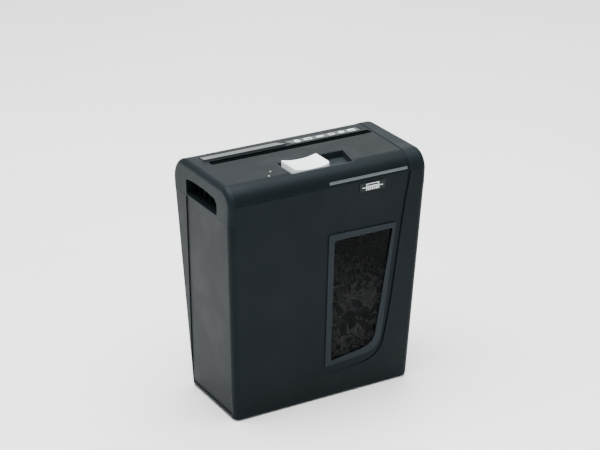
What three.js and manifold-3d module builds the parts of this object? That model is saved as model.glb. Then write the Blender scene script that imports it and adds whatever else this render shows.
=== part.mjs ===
// Paper shredder: tapered waste bin with a lift-off cutting head.
// Millimetres. X to the right seen from the front, -Y is the front, +Z up.
// The origin lies on the floor, under the middle of the bin.
import * as THREE from "three";
import { mergeVertices } from "three/addons/utils/BufferGeometryUtils.js";
import Module from "manifold-3d";

const wasm = await Module();
wasm.setup();

// Driving dimensions of the body
const TOP_Z = 343;
const BASE_HALF_W = 138;
const TOP_HALF_W = 150;
const BASE_HALF_D = 65;
const TOP_HALF_D = 82.5;
const RIM_Z = 295; // side and rear edge of the bin
const FRONT_Z = 319; // front edge of the bin, under the accent line
const FOOT = 1.5;
const BIN_WALL = 3;
const GAP = 0.3; // between separate pieces
const CORNER_R = 9;
const REACH = 200; // how far a cutting tool goes past what it cuts

// Head shell
const HEAD_Z = RIM_Z + GAP;
const FRONT_R = 26;
const REAR_R = 33;
const END_R = 8; // rounding of the two ends
const SKIN = 2.8;
const COVER_DROP = 0.6; // the top cover lies a little lower than the end caps
const SEAM_X = 142; // seam of the end caps on the sides
const GRIP_DEPTH = 19;
const LINER_WALL = 2;

// Feed slot
const SLOT_X = 124;
const SLOT_Y = [16, 28];

// Cutting block
const AXIS_Z = 268;
const FRONT_AXIS_Y = 6.5;
const REAR_AXIS_Y = 37.5;
const DISC_R = 17;
const SPACER_R = 9;
const SHAFT_R = 6;
const DISC_W = 3.4;
const PITCH = 8;
const DISCS = 28;
const FIRST_DISC_X = -110;
const PLATE_X = [116, 119];

// Drive train: cutter gear, idler and motor on one line
const IDLER_Y = -16.5;
const MOTOR_Y = -40;
const MOTOR_R = 23;
const GEAR_W = 4;
const LAYER_A = 119.6;
const LAYER_B = 124.4;
const LAYER_C = 129.2;

// Lower housing
const TUB_X = 140;
const TUB_Y = [-70, 72];
const TUB_Z = [242, 294.6];
const TUB_WALL = 2.2;
const TUB_FLOOR = TUB_Z[0] + TUB_WALL;
const BOSSES = [[-133.2, -58], [-133.2, 62], [133.2, -58], [133.2, 62]];

const halfW = (z) => BASE_HALF_W + (TOP_HALF_W - BASE_HALF_W) * Math.min(z / RIM_Z, 1);
const halfD = (z) => BASE_HALF_D + (TOP_HALF_D - BASE_HALF_D) * Math.min(z / FRONT_Z, 1);

// A manifold-3d solid from a geometry, turned outwards if its profile ran the other way.
function solid(geometry) {
  const g = geometry.index ? geometry.clone() : geometry;
  g.deleteAttribute("normal");
  g.deleteAttribute("uv");
  const merged = mergeVertices(g, 1e-3);
  const make = (triVerts) =>
    new wasm.Manifold(
      new wasm.Mesh({ numProp: 3, vertProperties: merged.attributes.position.array, triVerts }),
    );
  const tri = new Uint32Array(merged.index.array);
  const made = make(tri);
  if (made.volume() > 0) return made;
  for (let i = 0; i < tri.length; i += 3) [tri[i + 1], tri[i + 2]] = [tri[i + 2], tri[i + 1]];
  return make(tri);
}

function geometryOf(made) {
  const m = made.getMesh();
  const g = new THREE.BufferGeometry();
  g.setAttribute("position", new THREE.BufferAttribute(new Float32Array(m.vertProperties), 3));
  g.setIndex(new THREE.BufferAttribute(new Uint32Array(m.triVerts), 1));
  const flat = g.toNonIndexed();
  flat.computeVertexNormals();
  return flat;
}

function box(x0, x1, y0, y1, z0, z1) {
  const g = new THREE.BoxGeometry(x1 - x0, y1 - y0, z1 - z0);
  g.translate((x0 + x1) / 2, (y0 + y1) / 2, (z0 + z1) / 2);
  return solid(g);
}

const shapeOf = (points) => new THREE.Shape(points.map(([u, v]) => new THREE.Vector2(u, v)));

// Extrusions of an outline: [y, z] along X, [x, z] along Y, [x, y] along Z.
function alongX(points, x0, x1, holes = []) {
  const shape = shapeOf(points);
  shape.holes = holes.map(shapeOf);
  const g = new THREE.ExtrudeGeometry(shape, { depth: x1 - x0, bevelEnabled: false });
  const m = new THREE.Matrix4().makeBasis(
    new THREE.Vector3(0, 1, 0),
    new THREE.Vector3(0, 0, 1),
    new THREE.Vector3(1, 0, 0),
  );
  g.applyMatrix4(m);
  g.translate(x0, 0, 0);
  return solid(g);
}

function alongZ(points, z0, z1, holes = []) {
  const shape = shapeOf(points);
  shape.holes = holes.map(shapeOf);
  const g = new THREE.ExtrudeGeometry(shape, { depth: z1 - z0, bevelEnabled: false });
  g.translate(0, 0, z0);
  return solid(g);
}

// A closed surface through rings of equal length, with flat ends.
function loft(rings, flat = ([x, y]) => [x, y]) {
  const n = rings[0].length;
  const index = [];
  for (let k = 0; k + 1 < rings.length; k++)
    for (let i = 0; i < n; i++) {
      const j = (i + 1) % n;
      index.push(k * n + i, k * n + j, k * n + n + j);
      index.push(k * n + i, k * n + n + j, k * n + n + i);
    }
  const outline = rings[0].map((p) => new THREE.Vector2(...flat(p)));
  const top = (rings.length - 1) * n;
  const turned = THREE.ShapeUtils.isClockWise(outline);
  for (const [a, b, c] of THREE.ShapeUtils.triangulateShape(outline, [])) {
    const [u, v] = turned ? [c, b] : [b, c];
    index.push(a, v, u);
    index.push(top + a, top + u, top + v);
  }
  const g = new THREE.BufferGeometry();
  g.setAttribute("position", new THREE.Float32BufferAttribute(rings.flat(2), 3));
  g.setIndex(index);
  return solid(g);
}

const at = (points, f) => points.map(([u, v]) => f(u, v));

// Prisms that follow the sloping faces of the bin, from `out` outside the face to `depth` inside it.
const onFront = (points, out, depth) =>
  loft([at(points, (x, z) => [x, -halfD(z) - out, z]), at(points, (x, z) => [x, -halfD(z) + depth, z])],
    ([x, , z]) => [x, z]);
const onSide = (side, points, out, depth) =>
  loft([
    at(points, (y, z) => [side * (halfW(z) + out), y, z]),
    at(points, (y, z) => [side * (halfW(z) - depth), y, z]),
  ], ([, y, z]) => [y, z]);

function roundRect(hx, hy, r, steps = 4) {
  const corners = [[1, -1, -90], [1, 1, 0], [-1, 1, 90], [-1, -1, 180]];
  const points = [];
  for (const [sx, sy, start] of corners)
    for (let i = 0; i <= steps; i++) {
      const a = ((start + (90 * i) / steps) * Math.PI) / 180;
      points.push([sx * (hx - r) + r * Math.cos(a), sy * (hy - r) + r * Math.sin(a)]);
    }
  return points;
}

const ring = (hx, hy, r, z) => roundRect(hx, hy, r).map(([x, y]) => [x, y, z]);

function arc(cx, cy, r, from, to, steps) {
  const points = [];
  for (let i = 0; i <= steps; i++) {
    const a = ((from + ((to - from) * i) / steps) * Math.PI) / 180;
    points.push([cx + r * Math.cos(a), cy + r * Math.sin(a)]);
  }
  return points;
}

const circle = (cx, cy, r, n = 16) => arc(cx, cy, r, 0, 360 - 360 / n, n - 1);

// Turned pieces: profile of [radius, position] about an axis through (a, b).
function turnX(profile, y, z, segments = 16) {
  const g = new THREE.LatheGeometry(profile.map(([r, h]) => new THREE.Vector2(r, h)), segments);
  g.rotateZ(-Math.PI / 2);
  g.translate(0, y, z);
  return solid(g);
}

function turnZ(profile, x, y, segments = 16) {
  const g = new THREE.LatheGeometry(profile.map(([r, h]) => new THREE.Vector2(r, h)), segments);
  g.rotateX(Math.PI / 2);
  g.translate(x, y, 0);
  return solid(g);
}

const rodX = (r, x0, x1, y, z, n) => turnX([[0, x0], [r, x0], [r, x1], [0, x1]], y, z, n);
const rodZ = (r, z0, z1, x, y, n) => turnZ([[0, z0], [r, z0], [r, z1], [0, z1]], x, y, n);

function rodY(r, y0, y1, x, z, n = 16) {
  const g = new THREE.CylinderGeometry(r, r, y1 - y0, n);
  g.translate(x, (y0 + y1) / 2, z);
  return solid(g);
}

const union = (...pieces) => pieces.reduce((a, b) => a.add(b));
const cut = (from, ...pieces) => pieces.reduce((a, b) => a.subtract(b), from);

// An outline moved inwards by d, each corner along its two edges.
function inset(points, d) {
  const area = points.reduce((s, [x, y], i) => {
    const [u, v] = points[(i + 1) % points.length];
    return s + x * v - u * y;
  }, 0);
  const side = Math.sign(area) * d;
  return points.map(([x, y], i) => {
    const [px, py] = points[(i + points.length - 1) % points.length];
    const [nx, ny] = points[(i + 1) % points.length];
    const a = Math.hypot(x - px, y - py);
    const b = Math.hypot(nx - x, ny - y);
    const [ax, ay] = [-(y - py) / a, (x - px) / a];
    const [bx, by] = [-(ny - y) / b, (nx - x) / b];
    const k = side / (1 + ax * bx + ay * by);
    return [x + (ax + bx) * k, y + (ay + by) * k];
  });
}

const root = new THREE.Group();
root.name = "paper_shredder";

const FINISH = {
  shell: [0x2b3336, 0.55, 0],
  cap: [0x3a4144, 0.5, 0],
  black: [0x17191b, 0.6, 0],
  bezel: [0x4a5156, 0.45, 0],
  smoke: [0x14181b, 0.1, 0],
  light: [0xe4e6e7, 0.4, 0],
  silver: [0xb4b8ba, 0.3, 0.9],
  grey: [0x8a8f92, 0.5, 0],
  lens: [0x9fd8b0, 0.2, 0],
  steel: [0x9a9ea0, 0.35, 1],
  tool: [0x6d7072, 0.3, 1],
  nylon: [0xd8d6cc, 0.5, 0],
  zinc: [0xb0b3b4, 0.4, 1],
  board: [0x2f6b45, 0.5, 0],
  blue: [0x2b4a86, 0.4, 0],
  rubber: [0x202224, 0.8, 0],
};

function add(name, made, finish) {
  const [color, roughness, metalness] = FINISH[finish];
  const material = new THREE.MeshStandardMaterial({ color, roughness, metalness });
  const mesh = new THREE.Mesh(geometryOf(made), material);
  mesh.name = name;
  root.add(mesh);
}

// ---------------------------------------------------------------- bin
const BASE_ROUNDING = 1.4;
const BASE_EDGE_Z = 4;
const BIN_FLOOR_Z = 5;
const FRONT_WALL_BACK_Y = -76; // the front wall rises above the others, and all behind this is cut away
const CUT_OUT = 6; // how far in front of a face a cutting prism starts
const FOOT_PAD = { x: 112, y: 50, halfX: 14, halfY: 7 };
const SIDE_RECESS = [[-60, 7], [60.5, 7], [43, 300], [-46, 300]]; // [y, z]
const SIDE_RECESS_DEPTH = 1.2;
const INTERLOCK = [-100, 75]; // [x, y]
const RIB_X = [INTERLOCK[0] - 4, INTERLOCK[0] + 4];
const RIB_TOP = RIM_Z - 5;
const RIB = [[72.7, 274], [76.5, 266], [78.6, 266], [79.6, RIB_TOP], [72.7, RIB_TOP]]; // [y, z]

// Outlines on the front face, as [x, z]
const WINDOW = [[0, 49], [65, 55], [75, 58], [83, 64], [88, 74], [90, 88], [104, 248], [-1, 250]];
const GLASS = [[9, 57], [57, 64], [67, 67], [75, 72.5], [79, 82], [99, 240], [8, 240]];
const BADGE = [[44, 303], [84, 303], [84, 315.5], [44, 315.5]];
const BEZEL_PROUD = 0.9;
const BEZEL_SUNK = 0.7;
const PANE_Y = [1, 2.6]; // depths of the pane's two faces under the front
const PANE_LAP = 2.2; // the pane passes behind the frame
const BADGE_PROUD = 0.15;
const BADGE_SUNK = 0.2;

// Groove of the front as [x, z, width]: down the right side, round the corner and out along the bottom
const GROOVE = [
  [124, 330, 3.6], [113.5, 252, 3.2], [101.5, 130, 2.8], [92.5, 70, 2.6], [88, 58, 2.5],
  [79, 48, 2.4], [66, 43, 2.2], [45, 40, 2], [8, 37.5, 1.6], [-31, 39, 1.2], [-81, 46, 0.6],
];
const GROOVE_DEPTH = 1.4;

function grooveOutline() {
  const left = [];
  const right = [];
  GROOVE.forEach(([x, z, w], i) => {
    const [px, pz] = GROOVE[Math.max(i - 1, 0)];
    const [nx, nz] = GROOVE[Math.min(i + 1, GROOVE.length - 1)];
    const len = Math.hypot(nx - px, nz - pz);
    const [ux, uz] = [(-(nz - pz) / len) * (w / 2), ((nx - px) / len) * (w / 2)];
    left.push([x + ux, z + uz]);
    right.unshift([x - ux, z - uz]);
  });
  return [...left, ...right];
}

function binShell() {
  const outside = (z) => ring(halfW(z), halfD(z), CORNER_R, z);
  const base = ring(
    BASE_HALF_W - BASE_ROUNDING, BASE_HALF_D - BASE_ROUNDING, CORNER_R - BASE_ROUNDING, FOOT,
  );
  const outer = loft([base, outside(BASE_EDGE_Z), outside(RIM_Z), outside(FRONT_Z)]);
  const inside = (z, h) => ring(halfW(z) - BIN_WALL, halfD(z) - BIN_WALL, CORNER_R - BIN_WALL, h);
  const hollow = loft([
    inside(BIN_FLOOR_Z, BIN_FLOOR_Z), inside(RIM_Z, RIM_Z), inside(FRONT_Z, FRONT_Z + CUT_OUT),
  ]);
  let shell = cut(outer, hollow, box(-REACH, REACH, FRONT_WALL_BACK_Y, REACH, RIM_Z, REACH * 2));
  for (const side of [-1, 1]) {
    const x = [side * (SEAM_X - GAP), side * REACH].sort((a, b) => a - b);
    shell = cut(shell, box(...x, -REACH, 0, RIM_Z, REACH * 2));
    shell = cut(shell, onSide(side, SIDE_RECESS, CUT_OUT, SIDE_RECESS_DEPTH));
  }
  shell = cut(
    shell,
    onFront(grooveOutline(), CUT_OUT, GROOVE_DEPTH),
    onFront(inset(WINDOW, -GAP), CUT_OUT, BEZEL_SUNK + GAP),
    onFront(inset(GLASS, -PANE_LAP - GAP), CUT_OUT, BIN_WALL + CUT_OUT),
    onFront(inset(BADGE, -GAP), CUT_OUT, BADGE_SUNK + GAP),
  );
  // Foot pads moulded under the base
  for (const x of [-FOOT_PAD.x, FOOT_PAD.x])
    for (const y of [-FOOT_PAD.y, FOOT_PAD.y]) {
      const { halfX, halfY } = FOOT_PAD;
      shell = union(shell, box(x - halfX, x + halfX, y - halfY, y + halfY, 0, FOOT + 1));
    }
  // Rib that works the interlock of the head
  return union(shell, alongX(RIB, ...RIB_X));
}

add("bin_shell", binShell(), "shell");
add("window_frame", cut(onFront(WINDOW, BEZEL_PROUD, BEZEL_SUNK), onFront(GLASS, CUT_OUT, CUT_OUT)), "bezel");
add("window_pane", onFront(inset(GLASS, -PANE_LAP), -PANE_Y[0], PANE_Y[1]), "smoke");
add("badge", onFront(BADGE, BADGE_PROUD, BADGE_SUNK), "grey");

// ---------------------------------------------------------------- head shell
const FRONT_C = [FRONT_R - TOP_HALF_D, TOP_Z - FRONT_R]; // centres of the two roundings, as [y, z]
const REAR_C = [TOP_HALF_D - REAR_R, TOP_Z - REAR_R];
const NOTCH_BACK_Y = -72; // the bin's front wall stands in a notch of the head

// Side outline of the head at depth d under its outer surface, as [y, z]
function headOutline(d, low) {
  const y = halfD(HEAD_Z) - d;
  return [
    [-y, low],
    ...arc(...FRONT_C, FRONT_R - d, 180, 90, 6),
    ...arc(...REAR_C, REAR_R - d, 90, 0, 6),
    [y, low],
  ];
}

// The head as a solid whose surface lies d under the outer one
function headSolid(d, low) {
  const r = END_R - d;
  const rings = [];
  const put = (x, extra) => rings.push(headOutline(d + extra, low).map(([y, z]) => [x, y, z]));
  // Way along X and depth of the end's rounding, as shares of its radius
  const steps = [[0, 1], [0.12, 0.52], [0.42, 0.18], [1, 0]];
  for (const [off, extra] of steps) put(-TOP_HALF_W + d + off * r, extra * r);
  for (const [off, extra] of steps.reverse()) put(TOP_HALF_W - d - off * r, extra * r);
  return loft(rings, ([, y, z]) => [y, z]);
}

const headHollow = headSolid(SKIN, HEAD_Z - CUT_OUT);
const notch = box(-SEAM_X, SEAM_X, -REACH, NOTCH_BACK_Y, HEAD_Z - CUT_OUT, FRONT_Z + GAP);
const capShell = cut(headSolid(0, HEAD_Z), headHollow, notch);
const coverShell = cut(headSolid(COVER_DROP, HEAD_Z), headHollow, notch);

// Plan outlines of the parts of the shell; the right seam runs slightly askew
const seamAt = (y) => 126 + (4 * y) / TOP_HALF_D;
const COVER_PLAN = [
  [-SEAM_X + GAP / 2, -REACH], [seamAt(-REACH) - GAP / 2, -REACH],
  [seamAt(REACH) - GAP / 2, REACH], [-SEAM_X + GAP / 2, REACH],
];
const RIGHT_PLAN = [
  [seamAt(-REACH) + GAP / 2, -REACH], [REACH, -REACH], [REACH, REACH], [seamAt(REACH) + GAP / 2, REACH],
];
const LEFT_PLAN = [
  [-REACH, -REACH], [-SEAM_X - GAP / 2, -REACH], [-SEAM_X - GAP / 2, REACH], [-REACH, REACH],
];
const wholeHeight = (plan) => alongZ(plan, 0, REACH * 2);

// Grip recess in each side, as [y, z]
const GRIP = [
  [-45, HEAD_Z + 2], [42, HEAD_Z + 2], [42, 319], [22, 321.5], [-12, 322], [-38, 319.5], [-45, 314],
];

// A prism from x0 to x1 on the right, or its mirror image on the left
function onEnd(side, outline, x0, x1) {
  const [a, b] = side < 0 ? [-x1, -x0] : [x0, x1];
  return alongX(outline, a, b);
}

function endCap(side, skinPart) {
  const bottom = TOP_HALF_W - GRIP_DEPTH;
  const liner = onEnd(side, inset(GRIP, -LINER_WALL), bottom - LINER_WALL, TOP_HALF_W - 1);
  return cut(union(skinPart, liner), onEnd(side, GRIP, bottom, REACH));
}

// Screw posts under the shell, each with a pilot hole in its lower end
const POST_R = 4;
const POST_TOPS = [340.6, 338.6, 340.6, 338.6];
const PILOT_R = 2;
const PILOT_TOP = 264;

function withPosts(shell, numbers) {
  let c = shell;
  for (const i of numbers) c = union(c, rodZ(POST_R, TUB_FLOOR + GAP, POST_TOPS[i], ...BOSSES[i], 12));
  for (const i of numbers) c = cut(c, rodZ(PILOT_R, TUB_Z[0], PILOT_TOP, ...BOSSES[i], 10));
  return c;
}

add("left_end_cap", endCap(-1, capShell.intersect(wholeHeight(LEFT_PLAN))), "cap");
add("right_end_cap", withPosts(endCap(1, capShell.intersect(wholeHeight(RIGHT_PLAN))), [2, 3]), "cap");

// ---------------------------------------------------------------- top of the head
const COVER_Z = TOP_Z - COVER_DROP;
const SEAT_Z = COVER_Z - 0.7; // floor of the shallow seats for the label and the paper rest
const LOW_Z = COVER_Z - 0.4; // underside of what stands in those seats
const POCKET = [[-50, -64], [46, -64], [56, -20], [-50, -20]]; // [x, y], slanting at the right
const POCKET_Z = [330.8, 332.6]; // underside and floor
const POCKET_WALL = 1.4;
const REST = [[-128, 31.5], [-2, 31.5], [-12, 47], [-128, 47]];
const LABEL = [[6, 32], [114, 32], [114, 43.5], [0, 43.5]];
const LEDS = [["led_ready", -69, -42], ["led_overheat", -78, -55]];
const LED_R = 2.3;
const INLET = [98, 305]; // [x, z]
const INLET_R = 7;

// Accent strip: radii and angles above the horizontal, about the centre of the front rounding
const STRIP_X = [-2, 119];
const STRIP_R = [24.5, 25.9];
const STRIP_ANGLE = [12.8, 21.2];
const STRIP_MARGIN = 0.8; // degrees

function frontSector([r0, r1], [a0, a1]) {
  return [...arc(...FRONT_C, r1, 180 - a0, 180 - a1, 3), ...arc(...FRONT_C, r0, 180 - a1, 180 - a0, 3)];
}

function topCover() {
  const seat = frontSector(
    [STRIP_R[0] - GAP, FRONT_R + CUT_OUT], [STRIP_ANGLE[0] - STRIP_MARGIN, STRIP_ANGLE[1] + STRIP_MARGIN],
  );
  let c = cut(
    coverShell.intersect(wholeHeight(COVER_PLAN)),
    box(-SLOT_X, SLOT_X, ...SLOT_Y, SEAT_Z - 10, REACH * 2),
    alongZ(POCKET, SEAT_Z - 10, REACH * 2),
    alongZ(inset(REST, -GAP), SEAT_Z, REACH * 2),
    alongZ(inset(LABEL, -GAP), SEAT_Z, REACH * 2),
    alongX(seat, STRIP_X[0] - GAP, STRIP_X[1] + GAP),
    rodY(INLET_R + GAP, REAR_C[0], REACH, ...INLET),
  );
  for (const [, x, y] of LEDS) c = cut(c, rodZ(LED_R + GAP, SEAT_Z - 10, REACH * 2, x, y, 12));
  return withPosts(c, [0, 1]);
}

add("top_cover", topCover(), "shell");
add("accent_strip", alongX(frontSector(STRIP_R, STRIP_ANGLE), ...STRIP_X), "silver");
add("label_plate", alongZ(LABEL, LOW_Z, COVER_Z + 0.3), "grey");

// Low ridge that the sheet leans on, left of the label: high in front, low behind
function paperRest() {
  const frontLift = 2.4;
  const rearLift = 0.6;
  const middleY = 35;
  const low = REST.map(([x, y]) => [x, y, LOW_Z]);
  const top = inset(REST, 0.8).map(([x, y]) => [x, y, COVER_Z + (y < middleY ? frontLift : rearLift)]);
  return loft([low, top]);
}

add("paper_rest", paperRest(), "black");
const lensProfile = [[0, 337], [LED_R, 337], [LED_R, 341.8], [1.6, 342.7], [0, TOP_Z]];
for (const [name, x, y] of LEDS) add(name, turnZ(lensProfile, x, y, 12), "lens");

// Slide switch: liner of the pocket, knob with a stem through its slot, and the switch that the stem moves
const STEM_X = [-16, -8];
const STEM_Y = [-43, -39];
const TRAVEL = [-5, 19];
const STEM_SLOT_X = [STEM_X[0] + TRAVEL[0] - 2, STEM_X[1] + TRAVEL[1] + 3.5];
const STEM_SLOT_Y = [-44, -38];

function switchPocket() {
  const column = alongZ(inset(POCKET, GAP), POCKET_Z[0], REACH * 2);
  const body = column.intersect(headSolid(COVER_DROP + 0.2, HEAD_Z));
  const hollow = alongZ(inset(POCKET, GAP + POCKET_WALL), POCKET_Z[1], REACH * 2);
  return cut(body, hollow, box(...STEM_SLOT_X, ...STEM_SLOT_Y, POCKET_Z[0] - 5, POCKET_Z[1] + 5));
}

add("switch_pocket", switchPocket(), "black");

// The knob's top is dished along its travel, and all its edges are rounded
function switchKnob() {
  const middle = -16;
  const reach = 25.6;
  const rounding = 1.4;
  const [low, shoulder, dish, rise] = [335, TOP_Z, COVER_Z, 3.4];
  const rearY = -23.5;
  const depth = 35.6;
  const steps = 10;
  const profile = [[middle - reach, low], [middle + reach, low], [middle + reach, shoulder]];
  for (let i = steps; i >= 0; i--) {
    const t = (2 * i) / steps - 1;
    profile.push([middle + (reach - 0.5) * t, dish + rise * Math.pow(Math.abs(t), 2.2)]);
  }
  profile.push([middle - reach, shoulder]);
  const g = new THREE.ExtrudeGeometry(shapeOf(profile), {
    depth, bevelEnabled: true, bevelThickness: rounding, bevelSize: rounding, bevelSegments: 2,
  });
  g.rotateX(Math.PI / 2);
  g.translate(0, rearY, 0);
  return union(solid(g), box(...STEM_X, ...STEM_Y, 321.5, low + 1));
}

add("switch_knob", switchKnob(), "light");
const blockBody = box(-32, 28, -51, -31, 312, POCKET_Z[0] - 0.4);
const blockWay = box(STEM_SLOT_X[0] - 2, STEM_SLOT_X[1] + 2, -44.5, -37.5, 320, POCKET_Z[0]);
add("switch_block", cut(blockBody, blockWay), "black");

// Throat that guides the sheet to the cutters, with the bearings of the sensor flap
const THROAT = { x: 126, y: [13, 31], z: [289, COVER_Z - SKIN + 0.3] };
const FLAP_AXIS = [9, 326]; // [y, z]
const FLAP_X = 3;
const LUG_X = [8, 11];

function throat() {
  const lip = (x, y0, y1, z) => [[-x, y0, z], [x, y0, z], [x, y1, z], [-x, y1, z]];
  const body = box(-THROAT.x, THROAT.x, ...THROAT.y, ...THROAT.z);
  const way = loft([lip(112, 19.1, 24.9, 288), lip(114, 18.6, 25.4, 312), lip(122.5, 16.4, 27.6, 340.5)]);
  const lug = (side) => onEnd(side, [[5, 321], [14, 321], [14, 331], [5, 331]], ...LUG_X);
  return cut(
    union(cut(body, way), lug(-1), lug(1)),
    box(-5, 5, 10, 21.5, 304, 336),
    rodX(1.6, -LUG_X[1] - 1, LUG_X[1] + 1, ...FLAP_AXIS, 12),
  );
}

add("throat", throat(), "black");

function sensorFlap() {
  const arm = [[8, 324.2], [24, 325], [25.6, 326], [24, 327], [8, 327.8]];
  const hub = rodX(1.9, -LUG_X[0] + 0.4, LUG_X[0] - 0.4, ...FLAP_AXIS, 12);
  const pin = rodX(1.25, -LUG_X[1] + 0.2, LUG_X[1] - 0.2, ...FLAP_AXIS, 12);
  return union(hub, pin, alongX(arm, -FLAP_X, FLAP_X));
}

add("sensor_flap", sensorFlap(), "black");
const inletBody = rodY(INLET_R, 74, TOP_HALF_D - 0.2, ...INLET);
const inletFlange = rodY(INLET_R + 2.5, 74, 77.6, ...INLET);
add("mains_inlet", union(inletBody, inletFlange), "rubber");

// ---------------------------------------------------------------- lower housing
const OUTLET = [-114, 114, -4, 48]; // where the shreds fall: x and y
const APRON_TOP = FRONT_Z - 0.6; // the front wall closes the head behind the bin's front wall
const PLUNGER_R = 1.8;

function lowerHousing() {
  const w = TUB_WALL;
  const [ix, iy] = INTERLOCK;
  const tab = box(...RIB_X, TUB_Y[1] - 1, iy + 2, TUB_Z[1] - 3.2, TUB_Z[1]);
  let t = box(-TUB_X, TUB_X, ...TUB_Y, ...TUB_Z);
  t = cut(t, box(w - TUB_X, TUB_X - w, TUB_Y[0] + w, TUB_Y[1] - w, TUB_FLOOR, REACH * 2));
  t = cut(t, box(...OUTLET, TUB_Z[0] - 2, TUB_FLOOR + 2));
  t = union(t, box(-TUB_X, TUB_X, TUB_Y[0], TUB_Y[0] + w, TUB_Z[1] - 1, APRON_TOP));
  t = cut(union(t, tab), rodZ(PLUNGER_R + 0.4, TUB_Z[1] - 8, TUB_Z[1] + 5, ix, iy, 12));
  for (const [x, y] of BOSSES) t = cut(t, rodZ(PILOT_R, TUB_Z[0] - 4, TUB_FLOOR + 4, x, y, 10));
  return t;
}

add("lower_housing", lowerHousing(), "black");

const SCREW = { headR: 3.5, headH: 1.9, threadR: 1.65, threadTop: 260, tip: 262 };
const screwHeadZ = TUB_Z[0] - GAP;
const screwProfile = [
  [0, screwHeadZ - SCREW.headH], [SCREW.headR, screwHeadZ - SCREW.headH], [SCREW.headR, screwHeadZ],
  [SCREW.threadR, screwHeadZ], [SCREW.threadR, SCREW.threadTop], [0, SCREW.tip],
];
BOSSES.forEach(([x, y], i) => add("housing_screw_" + (i + 1), turnZ(screwProfile, x, y, 10), "zinc"));

// Interlock: plunger on the bin's rib, switch over it
add("interlock_plunger", rodZ(PLUNGER_R, RIB_TOP + GAP, 298.7, ...INTERLOCK, 12), "nylon");
add("interlock_switch", box(-110, -90, 66.5, 77.6, 299, 309), "black");

// ---------------------------------------------------------------- cutting block
const SHAFT_LEFT_X = -122;
const SPACER_END_X = 114;
const SHAFT_PAST_GEAR = 0.2;

// Profile of a shaft with spacers and smooth discs, the first disc at x = first and the shaft up to x = end
function cutter(first, end) {
  const profile = [
    [0, SHAFT_LEFT_X], [SHAFT_R, SHAFT_LEFT_X], [SHAFT_R, -SPACER_END_X], [SPACER_R, -SPACER_END_X],
  ];
  for (let i = 0; i < DISCS; i++) {
    const x = first + i * PITCH;
    profile.push([SPACER_R, x - DISC_W / 2], [DISC_R, x - DISC_W / 2]);
    profile.push([DISC_R, x + DISC_W / 2], [SPACER_R, x + DISC_W / 2]);
  }
  profile.push([SPACER_R, SPACER_END_X], [SHAFT_R, SPACER_END_X], [SHAFT_R, end], [0, end]);
  return profile;
}

const frontShaft = cutter(FIRST_DISC_X, LAYER_B + GEAR_W + SHAFT_PAST_GEAR);
const rearShaft = cutter(FIRST_DISC_X + PITCH / 2, LAYER_A + GEAR_W + SHAFT_PAST_GEAR);
add("cutter_front", turnX(frontShaft, FRONT_AXIS_Y, AXIS_Z, 10), "tool");
add("cutter_rear", turnX(rearShaft, REAR_AXIS_Y, AXIS_Z, 10), "tool");

// Comb whose fingers stand between the discs of one cutter and lift the shreds off it.
// Its bar runs from y = inner to outer, and the fingers reach on to y = tip.
const COMB_Z = [256, 280];
const FINGER_Z = [263, 273];
const FINGER_HALF_W = 1.5;

function comb(inner, outer, tip, first) {
  const span = (a, b) => [Math.min(a, b), Math.max(a, b)];
  let c = box(-SPACER_END_X, SPACER_END_X, ...span(inner, outer), ...COMB_Z);
  for (let i = 0; i < DISCS - 1; i++) {
    const x = first + i * PITCH;
    const y = span((inner + outer) / 2, tip);
    c = union(c, box(x - FINGER_HALF_W, x + FINGER_HALF_W, ...y, ...FINGER_Z));
  }
  return c;
}

add("comb_front", comb(-11.5, -14.4, -3.2, FIRST_DISC_X + PITCH / 2), "nylon");
add("comb_rear", comb(55.5, 58.4, 47.2, FIRST_DISC_X + PITCH), "nylon");

// Side plates as [y, z], with bores for the shafts; the right one reaches forward to carry motor and idler
const [PX0, PX1] = PLATE_X;
const PLATE_REAR = [[60.5, 246], [60.5, 284], [56, 288.5]];
const bore = (y, r) => circle(y, AXIS_Z, r, 16);
const shaftBores = [bore(FRONT_AXIS_Y, SHAFT_R + GAP), bore(REAR_AXIS_Y, SHAFT_R + GAP)];
const leftPlate = [[-16, 246], ...PLATE_REAR, [-11.5, 288.5], [-16, 284]];
const rightPlate = [[-65, 246], ...PLATE_REAR, [-60.5, 288.5], [-65, 284]];
const STUB = { r: 2.4, end: 134 };
const MOTOR_BORE_R = 3.4;
const gearPlate = alongX(rightPlate, PX0, PX1, [...shaftBores, bore(MOTOR_Y, MOTOR_BORE_R)]);
const idlerStub = rodX(STUB.r, PX1 - 1, STUB.end, IDLER_Y, AXIS_Z, 12);
add("side_plate_left", alongX(leftPlate, -PX1, -PX0, shaftBores), "steel");
add("side_plate_right", union(gearPlate, idlerStub), "steel");

const TIE_R = 2.4;
const TIE_RODS = { tie_rod_front: [-12, 250.5], tie_rod_rear: [56, 250.5], tie_rod_top: [51, 285.5] };
for (const [name, place] of Object.entries(TIE_RODS))
  add(name, rodX(TIE_R, GAP - PX0, PX0 - GAP, ...place, 10), "steel");

// ---------------------------------------------------------------- drive train
const SYNC = { teeth: 16, r: 15.5 };
const DRIVE = { teeth: 27, r: 17.25 };
const IDLER_SMALL = { teeth: 9, r: 5.75 };
const IDLER_LARGE = { teeth: 32, r: 18.8 };
const PINION = { teeth: 8, r: 4.7 };

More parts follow.
